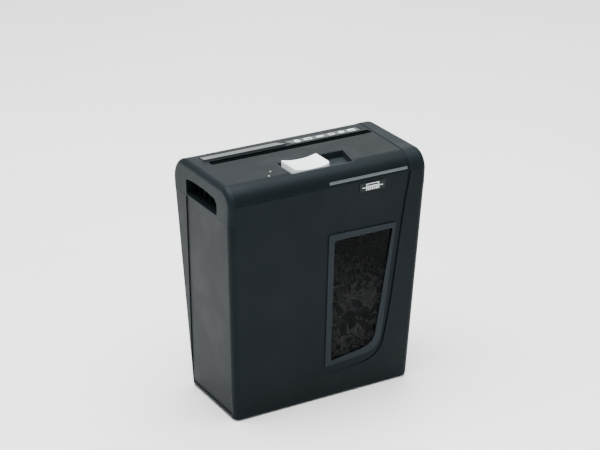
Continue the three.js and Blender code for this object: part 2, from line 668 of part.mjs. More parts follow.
// A spur gear about [y, AXIS_Z] from x0 to x1, one tooth's middle at the angle start
function gear({ teeth, r: pitchR }, y, [x0, x1], boreR, start) {
  const p = (2 * Math.PI) / teeth;
  const m = (2 * pitchR) / teeth;
  const tip = pitchR + 0.8 * m;
  const foot = pitchR - 1.1 * m;
  const points = [];
  for (let i = 0; i < teeth; i++) {
    const a = start + i * p;
    for (const [r, f] of [[foot, -0.3], [tip, -0.12], [tip, 0.12], [foot, 0.3]])
      points.push([y + r * Math.cos(a + f * p), AXIS_Z + r * Math.sin(a + f * p)]);
  }
  return alongX(points, x0, x1, [circle(y, AXIS_Z, boreR, 12)]);
}

const halfTooth = ({ teeth }) => Math.PI / teeth;
const layer = (x0) => [x0, x0 + GEAR_W];
const STUB_BORE = STUB.r + GAP;
const SHAFT_BORE = SHAFT_R + GAP;
add("sync_gear_front", gear(SYNC, FRONT_AXIS_Y, layer(LAYER_A), SHAFT_BORE, 0), "nylon");
const syncRearStart = Math.PI + halfTooth(SYNC);
add("sync_gear_rear", gear(SYNC, REAR_AXIS_Y, layer(LAYER_A), SHAFT_BORE, syncRearStart), "nylon");
add("drive_gear", gear(DRIVE, FRONT_AXIS_Y, layer(LAYER_B), SHAFT_BORE, Math.PI), "nylon");
const idlerLarge = gear(IDLER_LARGE, IDLER_Y, layer(LAYER_C), STUB_BORE, Math.PI);
const idlerSmall = gear(IDLER_SMALL, IDLER_Y, [LAYER_B, LAYER_C + 0.5], STUB_BORE, halfTooth(IDLER_SMALL));
add("idler_gear", union(idlerLarge, idlerSmall), "nylon");
add("motor_pinion", gear(PINION, MOTOR_Y, layer(LAYER_C), 2.3, halfTooth(PINION)), "steel");

// Motor, profiles as [radius, x]: armature on its shaft, can with end bearings, fan
const ARMATURE_R = 16;
const AXLE_R = 3;
const NOSE_R = 2;
const armature = [
  [0, 12], [AXLE_R, 12], [AXLE_R, 34], [ARMATURE_R, 36], [ARMATURE_R, 96], [AXLE_R, 98], [AXLE_R, 127],
  [NOSE_R, 127], [NOSE_R, 133.6], [0, 133.6],
];
const can = [
  [MOTOR_BORE_R, 22], [MOTOR_R, 22], [MOTOR_R, 110], [9, 110], [9, 115.6], [MOTOR_BORE_R, 115.6],
  [MOTOR_BORE_R, 107], [20.5, 107], [20.5, 25], [MOTOR_BORE_R, 25], [MOTOR_BORE_R, 22],
];
add("motor_rotor", turnX(armature, MOTOR_Y, AXIS_Z, 14), "steel");
add("motor_can", turnX(can, MOTOR_Y, AXIS_Z, 20), "zinc");

function motorFan() {
  const count = 8;
  const blades = [];
  for (let i = 0; i < count; i++) {
    const a = (i * 2 * Math.PI) / count;
    for (const [r, f] of [[6, -0.3], [20, -0.12], [20, 0.1], [6, 0.1]])
      blades.push([MOTOR_Y + r * Math.cos(a + f), AXIS_Z + r * Math.sin(a + f)]);
  }
  return alongX(blades, 13, 20, [circle(MOTOR_Y, AXIS_Z, AXLE_R + GAP, 12)]);
}

add("motor_fan", motorFan(), "black");

// Strap over the motor, standing on the floor of the housing
function strap() {
  const r = MOTOR_R + GAP;
  const thick = 1.2;
  const foot = 4;
  const floor = TUB_FLOOR + GAP;
  const outline = [
    [MOTOR_Y - r - foot, floor], [MOTOR_Y - r, floor], ...arc(MOTOR_Y, AXIS_Z, r, 180, 0, 12),
    [MOTOR_Y + r, floor], [MOTOR_Y + r + thick, floor], ...arc(MOTOR_Y, AXIS_Z, r + thick, 0, 180, 12),
    [MOTOR_Y - r - thick, floor + thick], [MOTOR_Y - r - foot, floor + thick],
  ];
  return alongX(outline, 56, 70);
}

add("motor_strap", strap(), "steel");

// Cover plate over the gears, on three standoffs
const GEAR_COVER_X = [134.6, 136.6];
const STANDOFFS = [[-47.5, 284], [-47.5, 251], [22, 285.5]]; // [y, z]

function gearCover() {
  const plate = alongX([[-51, 247], [57, 247], [57, 288], [-51, 288]], ...GEAR_COVER_X);
  return union(plate, ...STANDOFFS.map((place) => rodX(2.5, PX1 + GAP, GEAR_COVER_X[0] + 0.4, ...place, 10)));
}

add("gear_cover", gearCover(), "black");

// ---------------------------------------------------------------- electrics
const BOARD_X = [-127, -125.4];
const ON_BOARD_X = BOARD_X[0] - GAP;
add("control_board", box(...BOARD_X, -44, 44, 248, 288), "board");
add("board_relay", box(-136, ON_BOARD_X, -30, -12, 262, 284), "blue");
add("board_capacitor", rodX(7, -137, ON_BOARD_X, 20, 270, 14), "zinc");

export default root;
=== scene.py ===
"""Looks of the paper shredder: charcoal moulded housing, smoked window on the shreds, light slide switch.

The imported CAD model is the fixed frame. Lengths below are in millimetres, in the frame's own axes
(+X right seen from the front, -Y the front, +Z up), and become metres where a mesh is made.
"""
import math

import bmesh
import bpy
from mathutils import Matrix, Vector


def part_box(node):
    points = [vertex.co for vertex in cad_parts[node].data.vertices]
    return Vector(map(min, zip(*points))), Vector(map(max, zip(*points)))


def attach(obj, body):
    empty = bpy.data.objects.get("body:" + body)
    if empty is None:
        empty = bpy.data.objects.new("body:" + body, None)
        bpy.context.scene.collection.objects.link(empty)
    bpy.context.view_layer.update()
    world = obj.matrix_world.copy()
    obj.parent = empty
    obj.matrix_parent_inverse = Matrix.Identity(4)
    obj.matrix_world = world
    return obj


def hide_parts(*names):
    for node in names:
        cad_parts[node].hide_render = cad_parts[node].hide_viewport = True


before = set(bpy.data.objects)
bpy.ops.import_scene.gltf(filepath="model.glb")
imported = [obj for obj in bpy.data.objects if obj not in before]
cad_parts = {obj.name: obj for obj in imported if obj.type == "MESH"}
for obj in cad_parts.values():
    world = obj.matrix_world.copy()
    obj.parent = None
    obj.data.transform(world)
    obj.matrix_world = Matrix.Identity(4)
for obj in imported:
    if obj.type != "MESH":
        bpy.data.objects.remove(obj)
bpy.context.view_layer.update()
MM = 0.001


def box_mm(node):
    """Lowest and highest corner of a CAD node, in millimetres."""
    return tuple(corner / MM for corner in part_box(node))


def new_object(name, data):
    """An object linked to the scene, left at the origin."""
    made = bpy.data.objects.new(name, data)
    bpy.context.scene.collection.objects.link(made)
    return made


def look_from(thing, place, aim):
    """Puts a camera or a lamp at a place, turned to its aim."""
    thing.location = place
    thing.rotation_mode = "QUATERNION"
    thing.rotation_quaternion = (Vector(aim) - Vector(place)).to_track_quat("-Z", "Y")


# ---------------------------------------------------------------- camera
CAMERA_AIM = (0, 0, 0.236)
CAMERA_PLACE = (-1.164, -2.023, 1.233)
LENS_MM = 112


def make_camera():
    data = bpy.data.cameras.new("camera")
    data.lens = LENS_MM
    data.sensor_width = 36
    camera = new_object("camera", data)
    look_from(camera, CAMERA_PLACE, CAMERA_AIM)
    bpy.context.scene.camera = camera


make_camera()


# ---------------------------------------------------------------- node and material helpers
def srgb(text):
    """Linear RGBA of an sRGB hex colour."""
    def linear(c):
        return c / 12.92 if c <= 0.04045 else ((c + 0.055) / 1.055) ** 2.4
    return [linear(int(text[i:i + 2], 16) / 255) for i in (1, 3, 5)] + [1.0]


def add_node(tree, kind, settings=None, inputs=None):
    """A node with its settings and its inputs, each a value or a socket to link, by name or number."""
    node = tree.nodes.new(kind)
    for key, value in (settings or {}).items():
        setattr(node, key, value)
    for key, value in (inputs or {}).items():
        if isinstance(value, bpy.types.NodeSocket):
            tree.links.new(value, node.inputs[key])
        else:
            node.inputs[key].default_value = value
    return node


def per_metre(size_mm):
    """Scale of a noise or Voronoi texture whose features are size_mm across."""
    return 1000 / size_mm


def noise(tree, coords, size_mm, detail, **more):
    """A noise texture whose features are size_mm across."""
    return add_node(tree, "ShaderNodeTexNoise", None,
                    {"Vector": coords, "Scale": per_metre(size_mm), "Detail": detail, **more})


def principled(name, **sockets):
    """A material with one Principled shader, its tree and its object coordinates."""
    material = bpy.data.materials.new(name)
    material.use_nodes = True
    tree = material.node_tree
    shader = tree.nodes["Principled BSDF"]
    for key, value in sockets.items():
        shader.inputs[key.replace("_", " ")].default_value = value
    coords = add_node(tree, "ShaderNodeTexCoord").outputs["Object"]
    return material, tree, shader, coords


def ramp(tree, fac, stops):
    """Colour ramp with (position, colour) stops; a colour is a hex text or linear RGBA."""
    node = add_node(tree, "ShaderNodeValToRGB", None, {"Fac": fac})
    points = node.color_ramp.elements
    while len(points) < len(stops):
        points.new(0.5)
    for point, (place, colour) in zip(points, stops):
        point.position = place
        point.color = srgb(colour) if isinstance(colour, str) else colour
    return node.outputs["Color"]


def grey(v):
    return (v, v, v, 1)


def colour_by(tree, shader, fac, stops):
    """Links the shader's colour to a ramp over fac."""
    tree.links.new(ramp(tree, fac, stops), shader.inputs["Base Color"])


def spread(tree, fac, low, high, to_low, to_high):
    """Maps fac from low..high to to_low..to_high."""
    inputs = {0: fac, 1: low, 2: high, 3: to_low, 4: to_high}
    return add_node(tree, "ShaderNodeMapRange", None, inputs).outputs[0]


def relief(tree, shader, height, strength, depth_mm):
    """Links the shader's normal to a bump of that depth."""
    bump = add_node(tree, "ShaderNodeBump", None,
                    {"Height": height, "Strength": strength, "Distance": depth_mm * MM})
    tree.links.new(bump.outputs[0], shader.inputs["Normal"])


def moulded(name, base, light, grain_mm, rough, relief_mm, edge=0.35, specular=0.5):
    """Injection-moulded plastic: faint flow clouds, spark-eroded grain in the gloss, and a painted highlight
    on the edges.
    """
    material, tree, shader, coords = principled(name, Specular_IOR_Level=specular, IOR=1.53,
                                                Specular_Tint=srgb("#d3e6f2"))
    clouds = noise(tree, coords, 90, 3, Roughness=0.55)
    grain = noise(tree, coords, grain_mm, 4, Roughness=0.65)
    colour = ramp(tree, clouds.outputs["Fac"], [(0.35, base), (0.7, light)])
    # Painted highlight: edges are drawn lighter, where rounded edges would catch the light
    bevel = add_node(tree, "ShaderNodeBevel", {"samples": 4}, {"Radius": 0.0012})
    geometry = add_node(tree, "ShaderNodeNewGeometry")
    facing = add_node(tree, "ShaderNodeVectorMath", {"operation": "DOT_PRODUCT"},
                      {0: bevel.outputs["Normal"], 1: geometry.outputs["True Normal"]})
    edge_highlight_mask = spread(tree, facing.outputs["Value"], 0.98, 0.8, 0.0, edge)
    edge_highlighted = add_node(tree, "ShaderNodeMix", {"data_type": "RGBA"},
                      {0: edge_highlight_mask, 6: colour, 7: [min(1, c * 2.4) for c in srgb(light)[:3]] + [1]})
    tree.links.new(edge_highlighted.outputs[2], shader.inputs["Base Color"])
    smears = noise(tree, coords, 45, 5, Distortion=0.6)
    gloss = add_node(tree, "ShaderNodeMath", {"operation": "SUBTRACT"},
                     {0: spread(tree, grain.outputs["Fac"], 0.3, 0.7, rough - 0.06, rough + 0.08),
                      1: spread(tree, smears.outputs["Fac"], 0.45, 0.75, 0.0, 0.07)})
    tree.links.new(gloss.outputs[0], shader.inputs["Roughness"])
    relief(tree, shader, grain.outputs["Fac"], 0.5, relief_mm)
    return material


def metal(name, dark, bright, rough, grain_mm, stretch):
    """Metal whose brightness and gloss vary along its working direction."""
    material, tree, shader, coords = principled(name, Metallic=1.0)
    place = add_node(tree, "ShaderNodeMapping", None, {"Vector": coords, "Scale": stretch})
    streaks = noise(tree, place.outputs[0], grain_mm, 5, Roughness=0.6)
    stains = noise(tree, coords, 18, 4)
    share = add_node(tree, "ShaderNodeMath", {"operation": "MULTIPLY"}, {0: streaks.outputs["Fac"], 1: 0.6})
    mixed = add_node(tree, "ShaderNodeMath", {"operation": "MULTIPLY_ADD"},
                     {0: stains.outputs["Fac"], 1: 0.4, 2: share.outputs[0]})
    colour_by(tree, shader, mixed.outputs[0], [(0.35, dark), (0.65, bright)])
    gloss = spread(tree, mixed.outputs[0], 0.3, 0.7, rough + 0.1, rough - 0.06)
    tree.links.new(gloss, shader.inputs["Roughness"])
    relief(tree, shader, streaks.outputs["Fac"], 0.25, 0.03)
    return material


def nylon():
    """Natural nylon: milky, slightly waxy, with light passing a little way in, and patches of grease."""
    material, tree, shader, coords = principled("nylon_natural_gears", Roughness=0.4, IOR=1.53,
                                                Subsurface_Weight=0.15, Subsurface_Scale=0.002)
    grease = noise(tree, coords, 7, 4).outputs["Fac"]
    colour_by(tree, shader, grease, [(0.35, "#b9b09a"), (0.6, "#dcd8cb")])
    relief(tree, shader, grease, 0.2, 0.2)
    return material


def smoked_window():
    """Smoked polycarbonate: dark, polished, clear enough to show the shreds; fine wiping haze."""
    material, tree, shader, coords = principled("polycarbonate_smoked_window", IOR=1.58, Alpha=0.64,
                                                Specular_IOR_Level=0.04)
    haze = noise(tree, coords, 30, 5, Distortion=1.2).outputs["Fac"]
    colour_by(tree, shader, haze, [(0.4, "#020304"), (0.8, "#06080a")])
    tree.links.new(spread(tree, haze, 0.4, 0.8, 0.05, 0.16), shader.inputs["Roughness"])
    return material


def printed_film(name, colour, rough, specular=0.5):
    """Printed polyester film: flat ink with a faint orange-peel surface."""
    material, tree, shader, coords = principled(name, IOR=1.5, Specular_IOR_Level=specular)
    peel = noise(tree, coords, 1.5, 2)
    tint = noise(tree, coords, 25, 3).outputs["Fac"]
    dark = [c * 0.88 for c in srgb(colour)[:3]] + [1]
    colour_by(tree, shader, tint, [(0.3, dark), (0.7, colour)])
    tree.links.new(spread(tree, tint, 0.3, 0.7, rough - 0.05, rough + 0.06), shader.inputs["Roughness"])
    relief(tree, shader, peel.outputs["Fac"], 0.2, 0.02)
    return material


def lens():
    """Unlit light-emitting diode: milky diffusing epoxy."""
    material, tree, shader, coords = principled("epoxy_diffusing_lens", Roughness=0.18, IOR=1.5,
                                                Subsurface_Weight=0.3, Subsurface_Scale=0.002)
    cloud = noise(tree, coords, 2, 2)
    colour_by(tree, shader, cloud.outputs["Fac"], [(0.3, "#47504b"), (0.7, "#606b64")])
    return material


def board():
    """Glass-epoxy board under green solder resist, with copper tracks showing as lighter bands."""
    material, tree, shader, coords = principled("glass_epoxy_green_board", Roughness=0.32, IOR=1.52)
    tracks = add_node(tree, "ShaderNodeTexVoronoi", {"feature": "DISTANCE_TO_EDGE", "distance": "MANHATTAN"},
                      {"Vector": coords, "Scale": per_metre(7), "Randomness": 0.7}).outputs["Distance"]
    colour_by(tree, shader, tracks, [(0.05, "#2f7a4c"), (0.12, "#184b2e")])
    relief(tree, shader, tracks, 0.3, 0.1)
    return material


def paper():
    """Office paper, cut up: matt white to grey, each shred with its own tone, some with lines of print."""
    material, tree, shader, coords = principled("paper_office_shreds", Roughness=0.85, IOR=1.45)
    island = add_node(tree, "ShaderNodeNewGeometry").outputs["Random Per Island"]
    tone = ramp(tree, island, [(0.0, "#8f9193"), (0.25, "#c9cbcc"), (0.6, "#e9eaea"),
                               (1.0, "#f6f6f4")])
    print_lines = noise(tree, coords, 3, 3, Roughness=0.7)
    ink = ramp(tree, print_lines.outputs["Fac"], [(0.55, grey(1.0)), (0.62, grey(0.25))])
    dyed = add_node(tree, "ShaderNodeMix", {"data_type": "RGBA", "blend_type": "MULTIPLY"},
                    {0: 0.8, 6: tone, 7: ink})
    tree.links.new(dyed.outputs[2], shader.inputs["Base Color"])
    fibres = noise(tree, coords, 0.6, 4)
    relief(tree, shader, fibres.outputs["Fac"], 0.3, 0.05)
    return material


def heap_painted_shade():
    """Painted shade: the heap of cut paper under the shreds, drawn near black in dark flecks to stand for the
    shade of the shreds above it.
    """
    material, tree, shader, coords = principled("paper_heap_painted_shade", Roughness=0.9, IOR=1.45)
    flecks = add_node(tree, "ShaderNodeTexVoronoi", {"feature": "F1"},
                      {"Vector": coords, "Scale": per_metre(5), "Randomness": 1.0})
    colour_by(tree, shader, flecks.outputs["Distance"], [(0.2, "#3c3e40"), (0.7, "#101112")])
    return material


def floor_finish():
    """Pale matt vinyl floor with faint clouding."""
    material, tree, shader, coords = principled("floor_pale_matt", Roughness=0.55)
    cloud = noise(tree, coords, 1000 / 1.5, 3)
    colour_by(tree, shader, cloud.outputs["Fac"], [(0.3, "#e6e7e7"), (0.7, "#eeeeee")])
    return material


def make_materials():
    m = {}
    # The moulds' spark-eroded grain is about 0.2 mm; it is drawn at about 1 mm so that it shows
    m["housing"] = moulded("abs_charcoal_housing", "#0a0f11", "#0e1315", 0.9, 0.46, 0.05, specular=0.072)
    m["cap"] = moulded("abs_slate_end_cap", "#0d1315", "#11171a", 0.9, 0.5, 0.06, specular=0.085)
    m["inner"] = moulded("abs_black_inner_parts", "#0c0e0f", "#121415", 1.4, 0.52, 0.05, 0.2, 0.12)
    m["gloss"] = moulded("abs_black_polished_ridge", "#0f1112", "#17191b", 2.0, 0.2, 0.01, edge=0.25)
    # Painted light: the switch pocket is black plastic, drawn lighter than the housing to offset the shade in
    # its deep recess
    m["pocket"] = moulded("abs_black_switch_pocket_painted_light", "#1b2023", "#212629", 0.9, 0.5, 0.05, specular=0.1)
    m["bezel"] = moulded("abs_grey_window_bezel", "#12171a", "#171c1f", 0.8, 0.38, 0.03, specular=0.12)
    m["knob"] = moulded("abs_light_grey_knob", "#d3d7d9", "#e2e5e7", 1.0, 0.33, 0.02, edge=0.1)
    m["nylon"] = nylon()
    m["smoke"] = smoked_window()
    m["silver"] = metal("hot_stamped_silver_foil", "#6c7377", "#7f868a", 0.3, 0.15, stretch=(0.02, 1, 1))
    m["plate"] = metal("steel_zinc_plated", "#a9adae", "#c2c5c4", 0.34, 3.0, stretch=(1, 1, 1))
    m["tool"] = metal("steel_hardened_cutter", "#6d7072", "#8b8e8f", 0.27, 0.4, stretch=(1, 0.1, 0.1))
    m["copper"] = metal("copper_enamelled_winding", "#9a4f24", "#b8693a", 0.3, 0.5, stretch=(1, 1, 1))
    m["label"] = printed_film("polyester_film_label", "#2c3235", 0.42)
    m["badge"] = printed_film("satin_badge_film", "#14191c", 0.4, 0.12)
    m["icon"] = printed_film("screen_printed_white_ink", "#e6eaec", 0.45)
    m["lens"] = lens()
    m["board"] = board()
    m["relay"] = moulded("pbt_blue_relay_case", "#1d3f78", "#274c8c", 1.0, 0.3, 0.01, edge=0.1)
    m["rubber"] = moulded("epdm_rubber_gland", "#121314", "#1a1b1c", 0.6, 0.75, 0.06, 0.05, 0.3)
    m["paper"] = paper()
    # Painted shade: the heap under the shreds is drawn near black
    m["heap_shade"] = heap_painted_shade()
    m["floor"] = floor_finish()
    return m


FINISH = make_materials()


# ---------------------------------------------------------------- mesh helpers
def mesh_object(name, bm, finish):
    mesh = bpy.data.meshes.new(name)
    bm.to_mesh(mesh)
    bm.free()
    mesh.materials.append(FINISH[finish])
    return new_object(name, mesh)


def loft(rings, name="cutter", finish="inner", closed=False):
    """A skin through rings of points in millimetres; its ends are capped, or joined if closed."""
    bm = bmesh.new()
    rows = [[bm.verts.new(Vector(p) * MM) for p in ring] for ring in rings]
    after = rows[1:] + rows[:1] if closed else rows[1:]
    for low, high in zip(rows, after):
        for i in range(len(low)):
            j = (i + 1) % len(low)
            bm.faces.new((low[i], low[j], high[j], high[i]))
    if not closed:
        bm.faces.new(list(reversed(rows[0])))
        bm.faces.new(rows[-1])
    bmesh.ops.recalc_face_normals(bm, faces=bm.faces)
    return mesh_object(name, bm, finish)


def upright(points, z0, z1, name="cutter", finish="inner"):
    return loft([[(x, y, z) for x, y in points] for z in (z0, z1)], name, finish)


def along_x(points, x0, x1, name="cutter", finish="inner"):
    return loft([[(x, y, z) for y, z in points] for x in (x0, x1)], name, finish)


def box_outline(x0, x1, y0, y1):
    return [(x0, y0), (x1, y0), (x1, y1), (x0, y1)]


def block(x0, x1, y0, y1, z0, z1, name="cutter", finish="inner"):
    return upright(box_outline(x0, x1, y0, y1), z0, z1, name, finish)


def baked(piece):
    """The piece with its modifiers worked into a plain mesh."""
    graph = bpy.context.evaluated_depsgraph_get()
    mesh = bpy.data.meshes.new_from_object(piece.evaluated_get(graph))
    old = piece.data
    piece.modifiers.clear()
    piece.data = mesh
    bpy.data.meshes.remove(old)
    return piece


def boolean(piece, others, operation="DIFFERENCE"):
    """Cuts the other solids from the piece, or joins them to it, and removes them."""
    for other in others:
        step = piece.modifiers.new("boolean", "BOOLEAN")
        step.operation = operation
        step.solver = "EXACT"
        step.object = other
    baked(piece)
    for other in others:
        bpy.data.objects.remove(other)
    return piece


def soften(piece, width_mm, segments=3, angle=32):
    """Rounds the edges sharper than angle by a moulding radius, and shades the faces smooth between them."""
    if width_mm:
        edge = piece.modifiers.new("edge", "BEVEL")
        edge.width = width_mm * MM
        edge.segments = segments
        edge.limit_method = "ANGLE"
        edge.angle_limit = math.radians(angle)
        edge.miter_outer = "MITER_ARC"
        baked(piece)
    piece.data.shade_smooth()
    piece.data.set_sharp_from_angle(angle=math.radians(angle))
    weights = piece.modifiers.new("shade", "WEIGHTED_NORMAL")
    weights.keep_sharp = True
    weights.weight = 80
    return baked(piece)


def finished(piece, body, slot, *nodes):
    """Hangs a piece on the body it rides on and hides the CAD nodes it stands for. The slot argument is not
    used.
    """
    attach(piece, body)
    if nodes:
        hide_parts(*nodes)
    return piece


def refined(node, name, finish, width_mm, segments=2):
    """A CAD node's solid with its flat faces joined and its edges rounded."""
    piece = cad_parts[node].copy()
    piece.data = piece.data.copy()
    piece.parent = None
    piece.name = name
    for key in list(piece.keys()):
        del piece[key]
    bpy.context.scene.collection.objects.link(piece)
    piece.data.materials.clear()
    piece.data.materials.append(FINISH[finish])
    bm = bmesh.new()
    bm.from_mesh(piece.data)
    bmesh.ops.remove_doubles(bm, verts=bm.verts, dist=0.00001)
    bmesh.ops.dissolve_limit(bm, angle_limit=math.radians(0.5), verts=bm.verts, edges=bm.edges)
    for face in bm.faces:
        face.material_index = 0
    bm.to_mesh(piece.data)
    bm.free()
    return soften(piece, width_mm, segments)


def arc(cx, cy, r, start, end, steps):
    return [(cx + r * math.cos(math.radians(start + (end - start) * i / steps)),
             cy + r * math.sin(math.radians(start + (end - start) * i / steps))) for i in range(steps + 1)]


def round_rect(hx, hy, r, steps=10):
    points = []
    for sx, sy, start in ((1, -1, -90), (1, 1, 0), (-1, 1, 90), (-1, -1, 180)):
        points += arc(sx * (hx - r), sy * (hy - r), r, start, start + 90, steps)
    return points


def rounded(points, radius, steps=5):
    """A polygon with each corner turned into an arc of that radius, or less where the edges are short."""
    made = []
    for i, corner in enumerate(points):
        p = Vector(corner)
        a = Vector(points[i - 1]) - p
        b = Vector(points[(i + 1) % len(points)]) - p
        half = a.angle(b) / 2
        if half > math.radians(86):
            made.append(corner)
            continue
        reach = min(radius / math.tan(half), 0.45 * a.length, 0.45 * b.length)
        r = reach * math.tan(half)
        middle = p + (a.normalized() + b.normalized()).normalized() * (r / math.sin(half))
        start = p + a.normalized() * reach - middle
        turn = start.angle_signed(p + b.normalized() * reach - middle)
        for k in range(steps + 1):
            made.append(tuple(middle + Matrix.Rotation(-turn * k / steps, 2) @ start))
    return made


def inset(points, d):
    """The outline moved inwards by d."""
    n = len(points)
    area = sum(a[0] * b[1] - b[0] * a[1] for a, b in zip(points, points[1:] + points[:1]))
    d = d if area > 0 else -d
    made = []
    for i, (x, y) in enumerate(points):
        a = (Vector((x, y)) - Vector(points[i - 1])).normalized()
        b = (Vector(points[(i + 1) % n]) - Vector((x, y))).normalized()
        a, b = Vector((-a.y, a.x)), Vector((-b.y, b.x))
        k = d / (1 + a.dot(b))
        made.append((x + (a.x + b.x) * k, y + (a.y + b.y) * k))
    return made


def rod(axis, r, a, b, u, v, sides=24, name="cutter", finish="inner"):
    """A round bar along X, Y or Z from a to b, through (u, v) on the other two axes."""
    order = {"x": (0, 1, 2), "y": (1, 0, 2), "z": (1, 2, 0)}[axis]
    circle = arc(u, v, r, 0, 360 - 360 / sides, sides - 1)
    return loft([[[(t, p, q)[i] for i in order] for p, q in circle] for t in (a, b)], name, finish)


# ---------------------------------------------------------------- driving dimensions, from the frame
BIN_LOW, BIN_HIGH = box_mm("bin_shell")
COVER_HIGH = box_mm("top_cover")[1]
CAP_LOW, CAP_HIGH = box_mm("left_end_cap")
GAP = 0.3
TOP_HALF_W = BIN_HIGH.x
TOP_HALF_D = -BIN_LOW.y
TAPER_W, TAPER_D = 12, 17.5
BASE_HALF_W = TOP_HALF_W - TAPER_W
BASE_HALF_D = TOP_HALF_D - TAPER_D
FRONT_Z = BIN_HIGH.z
HEAD_Z = CAP_LOW.z
RIM_Z = HEAD_Z - GAP
TOP_Z = CAP_HIGH.z
CORNER_R = 9
WALL = 3
FRONT_R, REAR_R, END_R, SKIN = 26, 33, 8, 2.8
COVER_DROP = TOP_Z - COVER_HIGH.z
SEAM_X = 142
BADGE = [(44, 303), (84, 303), (84, 315.5), (44, 315.5)]
BOSSES = [(-133.2, -58), (-133.2, 62), (133.2, -58), (133.2, 62)]
TUB_FLOOR = 244.2
LOCK_RIB_X = (-104, -96)


def half_w(z):
    return BASE_HALF_W + TAPER_W * min(z / RIM_Z, 1)


def half_d(z):
    return BASE_HALF_D + TAPER_D * z / FRONT_Z


def on_front(points, out, depth, name="cutter", finish="inner"):
    """A prism that follows the sloping front, from out before it to depth (a number or a function) behind."""
    deep = depth if callable(depth) else lambda x, z: depth
    return loft([[(x, -half_d(z) - out, z) for x, z in points],
                 [(x, -half_d(z) + deep(x, z), z) for x, z in points]], name, finish)


def on_side(side, points, out, depth, name="cutter", finish="inner"):
    return loft([[(side * (half_w(z) + out), y, z) for y, z in points],
                 [(side * (half_w(z) - depth), y, z) for y, z in points]], name, finish)


# ---------------------------------------------------------------- bin
GLASS = [(9, 57), (57, 64), (67, 67), (75, 72.5), (79, 82), (99, 240), (8, 240)]
WINDOW = [(0, 49), (65, 55), (75, 58), (83, 64), (88, 74), (90, 88), (104, 248), (-1, 250)]
# The groove's line: x, z and width
GROOVE = [(124, 330, 3.6), (113.5, 252, 3.2), (101.5, 130, 2.8), (92.5, 70, 2.6), (88, 58, 2.5),
          (79, 48, 2.4), (66, 43, 2.2), (45, 40, 2), (8, 37.5, 1.6), (-31, 39, 1.2), (-81, 46, 0.6)]
PANEL_START_X = -104
BANK_WIDTH = 0.65
SIDE_PANEL = [(-60, 7), (60.5, 7), (43, 300), (-46, 300)]
FOOT_X, FOOT_Y, FOOT_TOP = 112, 50, 2.5
STIFFENER_X = (-90, -45, 0, 45, 90)


def smooth_path(points, per_span=6):
    """Catmull-Rom curve through points of any length of tuple."""
    made = []
    for i in range(len(points) - 1):
        a, b, c, d = (Vector(points[min(max(j, 0), len(points) - 1)]) for j in (i - 1, i, i + 1, i + 2))
        for k in range(per_span):
            t = k / per_span
            made.append(0.5 * (2 * b + (c - a) * t + (2 * a - 5 * b + 4 * c - d) * t * t
                               + (3 * b - a - 3 * c + d) * t * t * t))
    return made + [Vector(points[-1])]


def groove_outline():
    """The groove's two edges along its curved line, as one outline."""
    line = smooth_path(GROOVE)
    left, right = [], []
    for i, p in enumerate(line):
        ahead = line[min(i + 1, len(line) - 1)] - line[max(i - 1, 0)]
        side = Vector((-ahead.y, ahead.x)).normalized() * p.z / 2
        left.append((p.x + side.x, p.y + side.y))
        right.insert(0, (p.x - side.x, p.y - side.y))
    return left + right


def groove_depth(x, z):
    """Deep down the right side, running out to nothing under the window."""
    return 0.03 + 1.75 * min(1, max(0, (x - 25) / 60))


def panel_depth(x):
    """The middle panel sinks slightly towards the groove."""
    return 0.03 + 1.05 * (x - PANEL_START_X) / (GROOVE[0][0] - PANEL_START_X)


def bin_ring(z, less=0.0, height=None):
    """The bin's outline at z, moved inwards by less, drawn at another height if one is given."""
    outline = round_rect(half_w(z) - less, half_d(z) - less, max(CORNER_R - less, 1))
    return [(x, y, z if height is None else height) for x, y in outline]


def make_bin():
    body = loft([bin_ring(1.5, 1.4), bin_ring(2.2, 0.6), bin_ring(4, 0), bin_ring(RIM_Z), bin_ring(FRONT_Z)],
                "bin_body", "housing")
    hollow = loft([bin_ring(5, WALL + 2, 5), bin_ring(7, WALL, 7), bin_ring(RIM_Z, WALL),
                   bin_ring(FRONT_Z, WALL, FRONT_Z + 4)])
    line = smooth_path(GROOVE)
    panel = [(p.x, p.y) for p in line] + [(PANEL_START_X, 47), (PANEL_START_X, 330)]
    # The edge of the sunken panel is a narrow slope that catches the light
    bank = loft([[(x, -half_d(z) - 6, z) for x, z in panel], [(x, -half_d(z), z) for x, z in panel],
                 [(x, -half_d(z) + panel_depth(x), z) for x, z in inset(panel, BANK_WIDTH)]])
    cutters = [hollow, block(-160, 160, -76, 100, RIM_Z, 330)]
    for side in (-1, 1):
        x0, x1 = sorted((side * (SEAM_X - GAP), side * 160))
        cutters.append(block(x0, x1, -100, 0, RIM_Z, 330))
        cutters.append(on_side(side, rounded(SIDE_PANEL, 5), 6, 1.2))
    cutters += [bank, on_front(groove_outline(), 6, groove_depth),
                on_front(inset(WINDOW, -GAP), 6, 1.0), on_front(rounded(inset(GLASS, -2.5), 3), 6, 8),
                on_front(rounded(inset(BADGE, -GAP), 2.3), 6, 0.95)]
    boolean(body, cutters)
    foot = [[(x, y, z) for x, y in round_rect(14 - t, 7 - t, 3 - t, 4)]
            for z, t in ((0, 0.6), (0.6, 0), (FOOT_TOP, 0))]
    feet = [loft([[(sx * FOOT_X + x, sy * FOOT_Y + y, z) for x, y, z in ring] for ring in foot])
            for sx in (-1, 1) for sy in (-1, 1)]
    lock_rib = along_x([(72.7, 274), (76.5, 266), (78.6, 266), (79.6, 290), (72.7, 290)], *LOCK_RIB_X)
    stiffener = [(half_d(z) - d, z) for z, d in ((8, 4.6), (225, 4.6), (225, 1.5), (8, 1.5))]
    ribs = [along_x(stiffener, x - 1, x + 1) for x in STIFFENER_X]
    boolean(body, feet + [lock_rib] + ribs, "UNION")
    soften(body, 0.35, 2, 28)
    finished(body, "bin", "shell_plastic", "bin_shell")


